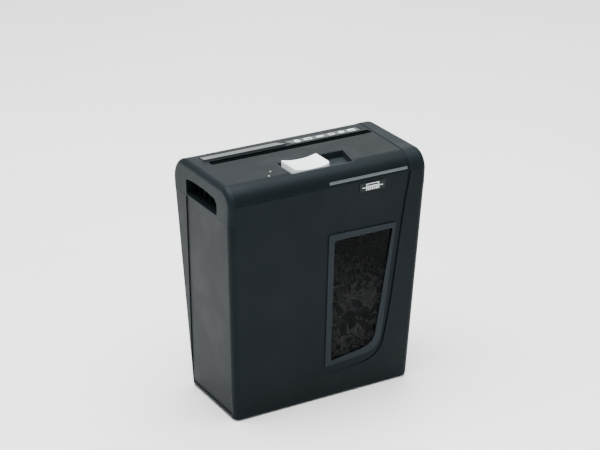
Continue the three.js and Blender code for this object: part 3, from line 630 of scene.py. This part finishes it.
def make_window():
    bezel = on_front(rounded(WINDOW, 2.5), 0.9, 0.7, "window_bezel", "bezel")
    boolean(bezel, [on_front(rounded(GLASS, 2.0), 6, 6)])
    finished(soften(bezel, 0.55, 3, 25), "bin", "bezel_plastic", "window_frame")
    pane = on_front(rounded(inset(GLASS, -2.2), 2.6), -1.0, 2.6, "window_pane_smoked", "smoke")
    finished(soften(pane, 0.2, 2), "bin", "smoke_plastic", "window_pane")


def ribbon(outline, width, place, low, high, finish):
    """A closed flat band inside an outline, put in place by place(u, v, height)."""
    inner = inset(outline, width)
    return loft([[place(*a, low), place(*b, low), place(*b, high), place(*a, high)]
                 for a, b in zip(outline, inner)], "ink", finish, closed=True)


def bar(u0, u1, v0, v1, place, low, high, finish):
    return loft([[place(u, v, h) for u, v in ((u0, v0), (u1, v0), (u1, v1), (u0, v1))] for h in (low, high)],
                "ink", finish)


def joined(name, pieces):
    """Several objects made into one, each face with its own finish."""
    bm = bmesh.new()
    finishes = []
    for piece in pieces:
        first = len(bm.faces)
        bm.from_mesh(piece.data)
        bm.faces.ensure_lookup_table()
        for face in bm.faces[first:]:
            material = piece.data.materials[face.material_index]
            if material not in finishes:
                finishes.append(material)
            face.material_index = finishes.index(material)
        bpy.data.objects.remove(piece)
    mesh = bpy.data.meshes.new(name)
    bm.to_mesh(mesh)
    bm.free()
    for material in finishes:
        mesh.materials.append(material)
    return new_object(name, mesh)


def make_badge():
    """Plate with a generic mark: a sheet over the strips that it is cut into."""
    plate = on_front(rounded(BADGE, 2), 0.1, 0.7, "badge_plate", "badge")

    def place(x, z, out):
        return (x, -half_d(z) - out, z)

    ink = (place, 0.05, 0.16, "icon")
    mark = [ribbon(box_outline(54, 74, 309.6, 313.8), 0.8, *ink), bar(48, 80, 308.2, 309, *ink)]
    mark += [bar(x, x + 1.6, 304.4, 307.6, *ink) for x in (54, 57.1, 60.2, 63.3, 66.4, 69.5, 72.4)]
    finished(joined("badge_plate_marked", [soften(plate, 0.1, 2), *mark]), "bin", "label_film", "badge")


make_bin()
make_window()
make_badge()


# ---------------------------------------------------------------- head shell
FRONT_C = (TOP_HALF_D - FRONT_R, TOP_Z - FRONT_R)
REAR_C = (TOP_HALF_D - REAR_R, TOP_Z - REAR_R)


def head_outline(d, low):
    y = half_d(HEAD_Z) - d
    return ([(-y, low)] + arc(-FRONT_C[0], FRONT_C[1], FRONT_R - d, 180, 90, 14)
            + arc(REAR_C[0], REAR_C[1], REAR_R - d, 90, 0, 16) + [(y, low)])


def head_solid(d, low, name="cutter", finish="inner"):
    """The head as a solid whose surface lies d under the outer one, its two ends rounded over."""
    r = END_R - d
    turns = [math.radians(a) for a in range(0, 91, 10)]
    steps = [(r * (1 - math.cos(a)), r * (1 - math.sin(a))) for a in turns]
    reach = TOP_HALF_W - d
    ends = [(off - reach, extra) for off, extra in steps]
    ends += [(reach - off, extra) for off, extra in steps[::-1]]
    return loft([[(x, y, z) for y, z in head_outline(d + extra, low)] for x, extra in ends], name, finish)


def seam_at(y):
    return 126 + 4 * y / TOP_HALF_D


GRIP = [(-45, HEAD_Z + 2), (42, HEAD_Z + 2), (42, 319), (22, 321.5), (-12, 322), (-38, 319.5), (-45, 314)]
GRIP_DEPTH = 19
GRIP_FIN = 5
SLOT_X, SLOT_Y = 124, (16, 28)
POCKET = [(-50, -64), (46, -64), (56, -20), (-50, -20)]
REST = [(-128, 31.5), (-2, 31.5), (-12, 47), (-128, 47)]
LABEL = [(6, 32), (114, 32), (114, 43.5), (0, 43.5)]
LEDS = {"led_ready": (-69, -42), "led_overheat": (-78, -55)}
STRIP_X = (-2, 119)
INLET = (98, 305)
POST_TOPS = (340.6, 338.6)
FIN_Y = (-30, -15, 0, 15, 30)


def strip_sector(r0, r1, a0, a1):
    return (arc(-FRONT_C[0], FRONT_C[1], r1, 180 - a0, 180 - a1, 8)
            + arc(-FRONT_C[0], FRONT_C[1], r0, 180 - a1, 180 - a0, 8))


def shell(drop, name, finish):
    body = head_solid(drop, HEAD_Z, name, finish)
    boolean(body, [head_solid(SKIN, HEAD_Z - 6), block(-SEAM_X, SEAM_X, -90, -72, 280, FRONT_Z + GAP)])
    return body


def beyond_seam(x0, gap):
    """The space between x0 and the slanting seam of the right end cap, moved right by gap."""
    return upright([(x0, -95), (seam_at(-95) + gap, -95), (seam_at(95) + gap, 95), (x0, 95)], 200, 360)


def posts(body, places):
    """Screw posts that reach from the cover down to the tub's floor."""
    for (x, y), top in zip(places, POST_TOPS):
        boolean(body, [rod("z", 4, TUB_FLOOR + GAP, top, x, y)], "UNION")
        boolean(body, [rod("z", 2, 240, 264, x, y, 16)])


def make_cap(side):
    word = "left" if side < 0 else "right"
    body = shell(0, "end_cap_" + word, "cap")
    away = block(-SEAM_X - GAP / 2, 170, -95, 95, 200, 360) if side < 0 else beyond_seam(-170, GAP / 2)
    boolean(body, [away])
    back = side * (TOP_HALF_W - GRIP_DEPTH)

    def across(outline, radius, a, b):
        return along_x(rounded(outline, radius), *sorted((a, b)))

    boolean(body, [across(inset(GRIP, -2), 5, back - side * 2, side * (TOP_HALF_W - 1))], "UNION")
    boolean(body, [across(GRIP, 3.5, back, side * 160)])
    if side > 0:
        posts(body, BOSSES[2:])
    # Fins that stiffen the back of the grip
    x0, x1 = sorted((back - side, back + side * GRIP_FIN))
    boolean(body, [block(x0, x1, y - 0.8, y + 0.8, HEAD_Z + 1, 323) for y in FIN_Y], "UNION")
    finished(soften(body, 0.5, 3, 30), "head", "cap_plastic", word + "_end_cap")


def make_cover():
    body = shell(COVER_DROP, "head_cover", "housing")
    right = beyond_seam(170, -GAP / 2)
    top = TOP_Z - COVER_DROP
    cutters = [block(-170, -SEAM_X + GAP / 2, -95, 95, 200, 360), right,
               upright(rounded(box_outline(-SLOT_X, SLOT_X, *SLOT_Y), 2.5), 330, 350),
               upright(rounded(POCKET, 3), 325, 350),
               upright(rounded(inset(REST, -GAP), 1.5), top - 0.7, 350),
               upright(rounded(inset(LABEL, -GAP), 1.2), top - 0.7, 350),
               along_x(strip_sector(24.2, 30, 12, 22), STRIP_X[0] - GAP, STRIP_X[1] + GAP),
               rod("y", 7.3, 70, 90, *INLET)]
    cutters += [rod("z", 2.6, 330, 350, x, y) for x, y in LEDS.values()]
    boolean(body, cutters)
    posts(body, BOSSES[:2])
    finished(soften(body, 0.4, 3, 30), "head", "shell_plastic", "top_cover")


make_cap(-1)
make_cap(1)
make_cover()


def pictograms(top):
    """What the machine takes and what it doesn't: sheet, envelope, clip, staple, disc and card."""
    def place(x, y, out):
        return (x, y, top + out)

    ink = (place, 0.2, 0.31, "icon")
    middle = 37.7

    def frame_at(x, hw, hd, r=0.8, width=0.8):
        outline = box_outline(x - hw, x + hw, middle - hd, middle + hd)
        return ribbon(rounded(outline, r, 3), width, *ink)

    def ring_at(x, r, width=0.8):
        return ribbon(arc(x, middle, r, 0, 345, 23), width, *ink)

    made = [frame_at(17, 3.2, 4.2), frame_at(34, 5.4, 3.6), frame_at(53, 5.6, 2.2, 2.0, 0.7),
            frame_at(53, 3.6, 1.0, 0.9, 0.6), frame_at(71, 4.2, 2.8), ring_at(87, 4.2), ring_at(87, 1.7),
            frame_at(103, 5.4, 3.6)]
    made += [bar(15.2, 18.8, y, y + 0.7, *ink) for y in (35.4, 37.4, 39.4)]
    made += [bar(30, 38, 39.2, 39.9, *ink), bar(98.6, 107.4, 38.6, 40.2, *ink)]
    return made


def make_trim():
    strip = along_x(strip_sector(24.5, 25.9, 12.8, 21.2), *STRIP_X, "accent_line", "silver")
    finished(soften(strip, 0.25, 2, 25), "head", "silver_foil", "accent_strip")
    top = TOP_Z - COVER_DROP
    ridge = loft([[(x, y, top - 0.4) for x, y in rounded(REST, 1.2)],
                  [(x, y, top + (2.1 if y < 38 else 0.4)) for x, y in rounded(inset(REST, 0.8), 1.0)]],
                 "paper_rest_ridge", "gloss")
    finished(soften(ridge, 0.3, 3), "head", "black_plastic", "paper_rest")
    label = upright(rounded(LABEL, 1.0), top - 0.4, top + 0.25, "label_strip", "label")
    finished(joined("label_strip_printed", [soften(label, 0.1, 2), *pictograms(top)]),
             "head", "label_film", "label_plate")
    for name, (x, y) in LEDS.items():
        dome = [(2.3, 337)] + [(2.3 * math.cos(a), 341.6 + 1.3 * math.sin(a))
                               for a in map(math.radians, range(0, 86, 17))]
        rings = [[(u, v, z) for u, v in arc(x, y, r, 0, 342, 19)] for r, z in dome]
        finished(soften(loft(rings, name + "_lens", "lens"), 0), "head", "lens_plastic", name)


make_trim()


def make_switch():
    top = TOP_Z - COVER_DROP
    # The well's finish is painted lighter to offset the shade in the recess
    well = upright(rounded(inset(POCKET, GAP), 2.8), 330.8, 350, "switch_well", "pocket")
    boolean(well, [head_solid(COVER_DROP + 0.2, HEAD_Z)], "INTERSECT")
    stem_slot = block(-23, 19.5, -44, -38, 320, 340)
    boolean(well, [upright(rounded(inset(POCKET, 1.7), 1.8), 332.6, 350), stem_slot])
    finished(soften(well, 0.3, 2), "head", "black_plastic", "switch_pocket")
    # The knob is dished along its travel and rounded all over
    low, high = box_mm("switch_knob")
    middle, reach = (low.x + high.x) / 2, (high.x - low.x) / 2
    rings = []
    for k in range(13):
        t = k / 12
        shrink = 1.6 * (1 - math.sqrt(max(0, 1 - (2 * t - 1) ** 12)))
        y = low.y + (high.y - low.y) * t
        outline = [(middle - reach, 333.7), (middle + reach, 333.7)]
        across = [1 - i / 6 for i in range(13)]
        outline += [(middle + reach * u, top + 1.3 + 3.7 * abs(u) ** 2.4) for u in across]
        rings.append([(x, y, z) for x, z in rounded(inset(outline, shrink), 1.6, 4)])
    knob = loft(rings, "slide_knob", "knob")
    boolean(knob, [block(x - 0.45, x + 0.45, low.y + 5, high.y - 5, top + 0.7, 360)
                   for x in (middle - 6, middle, middle + 6)])
    boolean(knob, [block(-16, -8, -43, -39, low.z, 336)], "UNION")
    finished(soften(knob, 0.3, 3, 28), "knob", "knob_plastic", "switch_knob")


make_switch()


# ---------------------------------------------------------------- Geometry Nodes
def new_tree(name, inputs):
    """A geometry tree with named inputs; returns the tree, its input node and its output node."""
    tree = bpy.data.node_groups.new(name, "GeometryNodeTree")
    tree.interface.new_socket("Geometry", in_out="INPUT", socket_type="NodeSocketGeometry")
    for label, kind in inputs.items():
        tree.interface.new_socket(label, in_out="INPUT", socket_type="NodeSocket" + kind)
    tree.interface.new_socket("Geometry", in_out="OUTPUT", socket_type="NodeSocketGeometry")
    return tree, tree.nodes.new("NodeGroupInput"), tree.nodes.new("NodeGroupOutput")


def grown(name, base, tree, values, finish):
    """Runs a tree on an object, with its inputs by name, and keeps the result as a plain mesh."""
    base.name = name
    modifier = base.modifiers.new("grow", "NODES")
    modifier.node_group = tree
    named = {item.name: item.identifier for item in tree.interface.items_tree if item.item_type == "SOCKET"}
    for label, value in {**values, "Material": FINISH[finish]}.items():
        modifier[named[label]] = value
    base.update_tag()
    bpy.context.view_layer.update()
    return baked(base)


def sums(tree, operation, first, second, third=0.5):
    """The result of one arithmetic node."""
    inputs = {0: first, 1: second, 2: third}
    return add_node(tree, "ShaderNodeMath", {"operation": operation}, inputs).outputs[0]


def close_tree(tree, geometry, material, output):
    """Ends a tree in Realize Instances and Set Material."""
    real = add_node(tree, "GeometryNodeRealizeInstances", None, {0: geometry})
    painted = add_node(tree, "GeometryNodeSetMaterial", None, {0: real.outputs[0], "Material": material})
    tree.links.new(painted.outputs[0], output.inputs[0])


def shred_tree():
    """Strips of paper scattered over the base mesh, turned at random and curled."""
    tree, given, output = new_tree("shreds", {"Density": "Float", "Width": "Float", "Length": "Float",
                                              "Curl": "Float", "Seed": "Int", "Material": "Material"})
    ask = given.outputs
    points = add_node(tree, "GeometryNodeDistributePointsOnFaces", None,
                      {"Mesh": ask[0], "Density": ask["Density"], "Seed": ask["Seed"]})
    strip = add_node(tree, "GeometryNodeMeshGrid", None,
                     {"Size X": ask["Length"], "Size Y": ask["Width"], "Vertices X": 9, "Vertices Y": 2})
    spin = add_node(tree, "FunctionNodeRandomValue", {"data_type": "FLOAT_VECTOR"},
                    {0: (-0.9, -0.9, -3.14), 1: (0.9, 0.9, 3.14), "Seed": 3})
    size = add_node(tree, "FunctionNodeRandomValue", {"data_type": "FLOAT"}, {2: 0.55, 3: 1.05, "Seed": 5})
    faced = add_node(tree, "FunctionNodeAlignRotationToVector", {"axis": "Z"},
                     {"Vector": points.outputs["Normal"]})
    pose = add_node(tree, "FunctionNodeRotateRotation", {"rotation_space": "LOCAL"},
                    {0: faced.outputs[0], 1: spin.outputs[0]})
    stretch = add_node(tree, "ShaderNodeCombineXYZ", None, {0: size.outputs[1], 1: 1.0, 2: 1.0})
    placed = add_node(tree, "GeometryNodeInstanceOnPoints", None,
                      {"Points": points.outputs[0], "Instance": strip.outputs[0],
                       "Rotation": pose.outputs[0], "Scale": stretch.outputs[0]})
    real = add_node(tree, "GeometryNodeRealizeInstances", None, {0: placed.outputs[0]})
    where = add_node(tree, "GeometryNodeInputPosition").outputs[0]
    drift = noise(tree, where, 34, 1.5).outputs["Color"]
    centred = add_node(tree, "ShaderNodeVectorMath", {"operation": "SUBTRACT"},
                       {0: drift, 1: (0.5, 0.5, 0.5)})
    push = add_node(tree, "ShaderNodeVectorMath", {"operation": "SCALE"},
                    {0: centred.outputs[0], "Scale": ask["Curl"]})
    shifted = add_node(tree, "ShaderNodeVectorMath", {"operation": "ADD"}, {0: where, 1: push.outputs[0]})
    # Kept inside the tapering walls of the bin
    parts = add_node(tree, "ShaderNodeSeparateXYZ", None, {0: shifted.outputs[0]})
    within = []
    for i, half, slope in ((0, BASE_HALF_W - 6, TAPER_W / RIM_Z), (1, BASE_HALF_D - 5.5, TAPER_D / FRONT_Z)):
        far = sums(tree, "MULTIPLY_ADD", parts.outputs[2], slope, half * MM)
        near = sums(tree, "MULTIPLY", far, -1.0)
        within.append(sums(tree, "MAXIMUM", sums(tree, "MINIMUM", parts.outputs[i], far), near))
    within.append(sums(tree, "MAXIMUM", parts.outputs[2], 5.6 * MM))
    kept = add_node(tree, "ShaderNodeCombineXYZ", None, dict(enumerate(within)))
    bent = add_node(tree, "GeometryNodeSetPosition", None,
                    {"Geometry": real.outputs[0], "Position": kept.outputs[0]})
    close_tree(tree, bent.outputs[0], given.outputs["Material"], output)
    return tree


def pile_core():
    """The heap that the shreds lie on, higher at the middle and rolling on top."""
    columns, rows = 20, 10
    bm = bmesh.new()
    grid = []
    for j in range(rows + 1):
        line = []
        for i in range(columns + 1):
            u, v = i / columns * 2 - 1, j / rows * 2 - 1
            z = 158 - 22 * u * u - 8 * v + 7 * math.sin(5 * u + 2 * v) + 5 * math.sin(9 * u * v + 4 * v)
            line.append(bm.verts.new(Vector((u * (half_w(z) - 16), v * (half_d(z) - 17), z)) * MM))
        grid.append(line)
    floor = [[bm.verts.new((v.co.x * 0.93, v.co.y * 0.88, 9 * MM)) for v in line] for line in grid]
    for j in range(rows):
        for i in range(columns):
            bm.faces.new((grid[j][i], grid[j][i + 1], grid[j + 1][i + 1], grid[j + 1][i]))
            bm.faces.new((floor[j][i], floor[j + 1][i], floor[j + 1][i + 1], floor[j][i + 1]))
    rim = ([(0, i) for i in range(columns)] + [(j, columns) for j in range(rows)]
           + [(rows, i) for i in range(columns, 0, -1)] + [(j, 0) for j in range(rows, 0, -1)])
    for (j, i), (j2, i2) in zip(rim, rim[1:] + rim[:1]):
        bm.faces.new((grid[j][i], floor[j][i], floor[j2][i2], grid[j2][i2]))
    bmesh.ops.recalc_face_normals(bm, faces=bm.faces)
    # The heap takes the near-black finish that paints the shade under the shreds
    return mesh_object("shred_heap", bm, "heap_shade")


def make_shreds():
    heap = pile_core()
    scatter = heap.copy()
    scatter.data = heap.data.copy()
    bpy.context.scene.collection.objects.link(scatter)
    loose = grown("shreds_loose", scatter, shred_tree(),
                  {"Density": 17000.0, "Width": 0.004, "Length": 0.036, "Curl": 0.03, "Seed": 11}, "paper")
    finished(loose, "bin", None)
    finished(soften(heap, 0), "bin", None)


make_shreds()


# ---------------------------------------------------------------- cutting block and drive
def row_tree():
    """Copies of a part in a row along X, each turned a step further than the last."""
    tree, given, output = new_tree("row", {"Count": "Int", "Pitch": "Float", "Turn": "Float",
                                           "Material": "Material"})
    step = add_node(tree, "ShaderNodeCombineXYZ", None, {0: given.outputs["Pitch"]})
    line = add_node(tree, "GeometryNodeMeshLine", {"mode": "OFFSET"},
                    {"Count": given.outputs["Count"], "Offset": step.outputs[0]})
    number = add_node(tree, "GeometryNodeInputIndex").outputs[0]
    angle = sums(tree, "MULTIPLY", number, given.outputs["Turn"])
    turn = add_node(tree, "ShaderNodeCombineXYZ", None, {0: angle})
    placed = add_node(tree, "GeometryNodeInstanceOnPoints", None,
                      {"Points": line.outputs[0], "Instance": given.outputs[0], "Rotation": turn.outputs[0]})
    close_tree(tree, placed.outputs[0], given.outputs["Material"], output)
    return tree


def moved(piece, x, y, z):
    """Shifts a mesh by millimetres; the object itself stays at the origin."""
    piece.data.transform(Matrix.Translation(Vector((x, y, z)) * MM))
    return piece


def turned(profile, y, z, sides, name, finish, closed=False):
    """A turned piece about an axis along X, from (radius, x) points; a closed profile makes a ring."""
    angles = [math.tau * i / sides for i in range(sides)]
    rings = [[(x, y + r * math.cos(a), z + r * math.sin(a)) for a in angles] for r, x in profile]
    return loft(rings, name, finish, closed)


AXIS_Z = 268
DISC_R, DISC_W, PITCH, DISCS, DISC_TURN = 17, 3.4, 8, 28, 13
# One of a disc's six hooks: how far below the disc's radius and at what angle each point lies
HOOK = [(3, -3), (0.1, 0), (0.1, 4), (1.2, 22), (2.4, 42)]
ROW = row_tree()


def make_cutter(name, node, body, y, first, end, turn):
    """Shaft with spacers and hooked discs, each disc turned a little from its neighbour."""
    hook = []
    for k in range(6):
        for drop, a in HOOK:
            t = math.radians(60 * k + turn * a)
            hook.append(((DISC_R - drop) * math.cos(t), (DISC_R - drop) * math.sin(t)))
    disc = along_x(hook if turn > 0 else hook[::-1], -DISC_W / 2, DISC_W / 2, "disc", "tool")
    row = {"Count": DISCS, "Pitch": PITCH * MM, "Turn": math.radians(DISC_TURN * turn)}
    discs = moved(grown("discs", soften(disc, 0.2, 1), ROW, row, "tool"), first, y, AXIS_Z)
    shaft = turned([(5, -122), (6, -121), (6, -114), (9, -114), (9, 114), (6, 114), (6, end - 1), (5, end)],
                   y, AXIS_Z, 40, "shaft", "tool")
    finished(joined(name, [discs, soften(shaft, 0.2, 1)]), body, "tool_steel", node)


make_cutter("cutter_front_hooked", "cutter_front", "front_cutter", 6.5, -110, 128.6, -1)
make_cutter("cutter_rear_hooked", "cutter_rear", "rear_cutter", 37.5, -106, 123.8, 1)

# A slot name for each finish of the solids below
SLOT_OF = {"inner": "black_plastic", "rubber": "gland_rubber", "nylon": "nylon", "plate": "plate_steel",
           "relay": "relay_plastic"}
# Solids whose CAD shape is kept, with rounded edges: node, finish, body, edge radius
KEPT = [
    ("throat", "inner", "head", 0.5), ("sensor_flap", "inner", "flap", 0.2),
    ("mains_inlet", "rubber", "head", 0.5), ("switch_block", "inner", "head", 0.4),
    ("interlock_switch", "inner", "head", 0.4),
    ("interlock_plunger", "nylon", "plunger", 0.3), ("comb_front", "nylon", "head", 0.3),
    ("comb_rear", "nylon", "head", 0.3), ("side_plate_left", "plate", "head", 0.3),
    ("side_plate_right", "plate", "head", 0.3), ("tie_rod_front", "plate", "head", 0.2),
    ("tie_rod_rear", "plate", "head", 0.2), ("tie_rod_top", "plate", "head", 0.2),
    ("motor_strap", "plate", "head", 0.2), ("gear_cover", "inner", "head", 0.4),
    ("sync_gear_front", "nylon", "front_cutter", 0.15),
    ("sync_gear_rear", "nylon", "rear_cutter", 0.15), ("drive_gear", "nylon", "front_cutter", 0.15),
    ("idler_gear", "nylon", "idler", 0.15), ("motor_pinion", "plate", "rotor", 0.1),
    ("motor_fan", "inner", "rotor", 0.3), ("board_relay", "relay", "head", 0.5),
]
for node, finish, body, edge in KEPT:
    finished(refined(node, node + "_finished", finish, edge), body, SLOT_OF[finish], node)


MOTOR_Y = -40


def make_motor():
    """Can with rolled grooves and cooling slots, armature with its windings and commutator."""
    profile = [(3.4, 22), (21.5, 22), (23, 23.5), (23, 30), (22.4, 30.6), (22.4, 31.4), (23, 32), (23, 100),
               (22.4, 100.6), (22.4, 101.4), (23, 102), (23, 108.5), (21.5, 110), (9, 110), (9, 115),
               (8.4, 115.6), (3.4, 115.6), (3.4, 107), (20.5, 107), (20.5, 25), (3.4, 25)]
    can = turned(profile, MOTOR_Y, AXIS_Z, 56, "motor_can_rolled", "plate", closed=True)
    slots = []
    for a in map(math.radians, range(15, 360, 60)):
        c, d = math.cos(a), math.sin(a)
        slots.append(loft([[(x, MOTOR_Y + r * c - w * d, AXIS_Z + r * d + w * c)
                            for x, w in box_outline(84, 97, -2, 2)] for r in (18, 26)]))
    boolean(can, slots)
    finished(soften(can, 0), "head", "plate_steel", "motor_can")

    def spun(sides, name, finish, *profile):
        return soften(turned(profile, MOTOR_Y, AXIS_Z, sides, name, finish), 0)

    axle = spun(24, "axle", "plate", (2.5, 12), (3, 12.5), (3, 127), (2, 127), (2, 133.2), (1.6, 133.6))
    core = spun(36, "core", "tool", (15.4, 40), (15.9, 40.4), (15.9, 79.6), (15.4, 80))
    ends = [spun(30, "winding", "copper", (6, a), (13.6, a + 1), (14.8, a + 3), (13.6, b - 1), (6, b))
            for a, b in ((36, 40), (80, 86))]
    collector = spun(24, "collector", "copper", (7, 87), (7.4, 87.4), (7.4, 95.6), (7, 96))
    finished(joined("armature_wound", [axle, core, *ends, collector]), "rotor", "plate_steel", "motor_rotor")


def make_electrics():
    """Control board with its parts, tracks in the resist and soldered pins."""
    parts = [soften(block(-127, -125.4, -44, 44, 248, 288, "board", "board"), 0.15, 1)]
    for y0, z0, w, h, deep, finish in ((-8, 276, 16, 9, 7, "inner"), (30, 252, 9, 9, 6, "knob"),
                                       (-40, 252, 7, 14, 9, "inner"), (32, 272, 8, 12, 8, "nylon"),
                                       (2, 252, 3, 7, 3, "copper")):
        parts.append(soften(block(-127 - deep, -126.9, y0, y0 + w, z0, z0 + h, "part", finish), 0.3, 1))
    for i in range(9):
        parts.append(rod("x", 0.7, -125.5, -124.6, -38 + 9 * i, 251 + 7 * (i % 4), 10, "joint", "plate"))
    finished(joined("control_board_fitted", parts), "head", "board_laminate", "control_board")
    profile = [(6.2, -137), (6.8, -136.6), (7, -130.4), (6.6, -129.8), (6.6, -129.4), (7, -128.8),
               (7, -127.3)]
    can = turned(profile, 20, 270, 32, "capacitor_sleeved", "relay")
    finished(soften(can, 0.1, 1), "head", "plate_steel", "board_capacitor")


def make_housing():
    """Tub of the head: rounded corners, moulded panels, louvre grooves by the motor, outlet, front apron."""
    low, high = box_mm("lower_housing")
    rim = low.z + 52.6

    def ring(z, less):
        return [(x, y + 1, z) for x, y in round_rect(140 - less, 71 - less, 5 - min(less, 3.5))]

    tub = loft([ring(low.z, 0.8), ring(low.z + 0.8, 0), ring(rim, 0)], "head_tub", "inner")
    cutters = [loft([ring(TUB_FLOOR, 2.2), ring(300, 2.2)]), block(-114, 114, -4, 48, 240, 250)]
    cutters += [block(x - 1.5, x + 1.5, -74, -69.2, 252, 284) for x in range(36, 108, 7)]
    panel_z = (250, 286)
    cutters += [block(x - 10, x + 10, -74, -69.3, *panel_z) for x in (-112, -86, -60, -34, -8)]
    cutters += [block(x - 10, x + 10, 71.3, 76, *panel_z) for x in (-60, -34, -8, 18, 44, 70, 96)]
    cutters += [block(x0, x1, y, y + 22, *panel_z) for x0, x1 in ((-145.3, -139.3), (139.3, 145.3))
                for y in (-58, -30, -2, 26)]
    boolean(tub, cutters)
    apron = [(-140, -70), (140, -70), (140, -66.5), (136, -66.5), (134, -67.8), (-134, -67.8), (-136, -66.5),
             (-140, -66.5)]
    boolean(tub, [block(*LOCK_RIB_X, 70, 77, 291.4, rim), upright(rounded(apron, 2), 285, high.z)], "UNION")
    holes = [rod("z", 2, 238, 250, x, y, 20) for x, y in BOSSES]
    boolean(tub, [rod("z", 2.2, 285, 300, -100, 75, 24)] + holes)
    finished(soften(tub, 0.4, 2), "head", "black_plastic", "lower_housing")


def make_screws():
    """The four housing screws: one cross-recessed screw set on the four posts."""
    profile = [(3.0, 239.9), (3.5, 240.6), (3.5, 241.7), (1.65, 241.7), (1.65, 260), (0.4, 261.9)]
    screw = loft([[(x, y, z) for x, y in arc(0, 0, r, 0, 345, 23)] for r, z in profile], "screw", "plate")
    boolean(screw, [block(-2, 2, -0.4, 0.4, 239, 241.2), block(-0.4, 0.4, -2, 2, 239, 241.2)])
    points = bmesh.new()
    for x, y in BOSSES:
        points.verts.new(Vector((x, y, 0)) * MM)
    holder = mesh_object("housing_screws", points, "plate")
    tree, given, output = new_tree("screws", {"Screw": "Object", "Material": "Material"})
    source = add_node(tree, "GeometryNodeObjectInfo", None, {"Object": given.outputs["Screw"]})
    placed = add_node(tree, "GeometryNodeInstanceOnPoints", None,
                      {"Points": given.outputs[0], "Instance": source.outputs["Geometry"]})
    close_tree(tree, placed.outputs[0], given.outputs["Material"], output)
    made = grown("housing_screws", holder, tree, {"Screw": screw}, "plate")
    bpy.data.objects.remove(screw)
    finished(soften(made, 0.08, 1), "head", "plate_steel", *["housing_screw_%d" % n for n in (1, 2, 3, 4)])


make_motor()
make_electrics()
make_housing()
make_screws()


# ---------------------------------------------------------------- floor and light
LIGHT_AIM = (0, 0, 0.15)
# Name, place, size in metres and power in watts
LIGHTS = [("key", (-1.8, 0.4, 2.4), 1.6, 40), ("overhead", (0, 0, 2.8), 2.6, 285),
          ("back", (1.4, 2.2, 1.3), 1.5, 10)]


def make_stage():
    bpy.ops.mesh.primitive_plane_add(size=14, location=(0, 0, -0.0005))
    floor = bpy.context.object
    floor.name = "floor"
    floor.data.materials.append(FINISH["floor"])
    world = bpy.data.worlds.new("studio")
    bpy.context.scene.world = world
    world.use_nodes = True
    sky = world.node_tree.nodes["Background"]
    sky.inputs["Color"].default_value = srgb("#eceeef")
    sky.inputs["Strength"].default_value = 0.98
    for name, place, size, power in LIGHTS:
        data = bpy.data.lights.new(name, "AREA")
        data.energy = power
        data.size = size
        look_from(new_object(name, data), place, LIGHT_AIM)


make_stage()
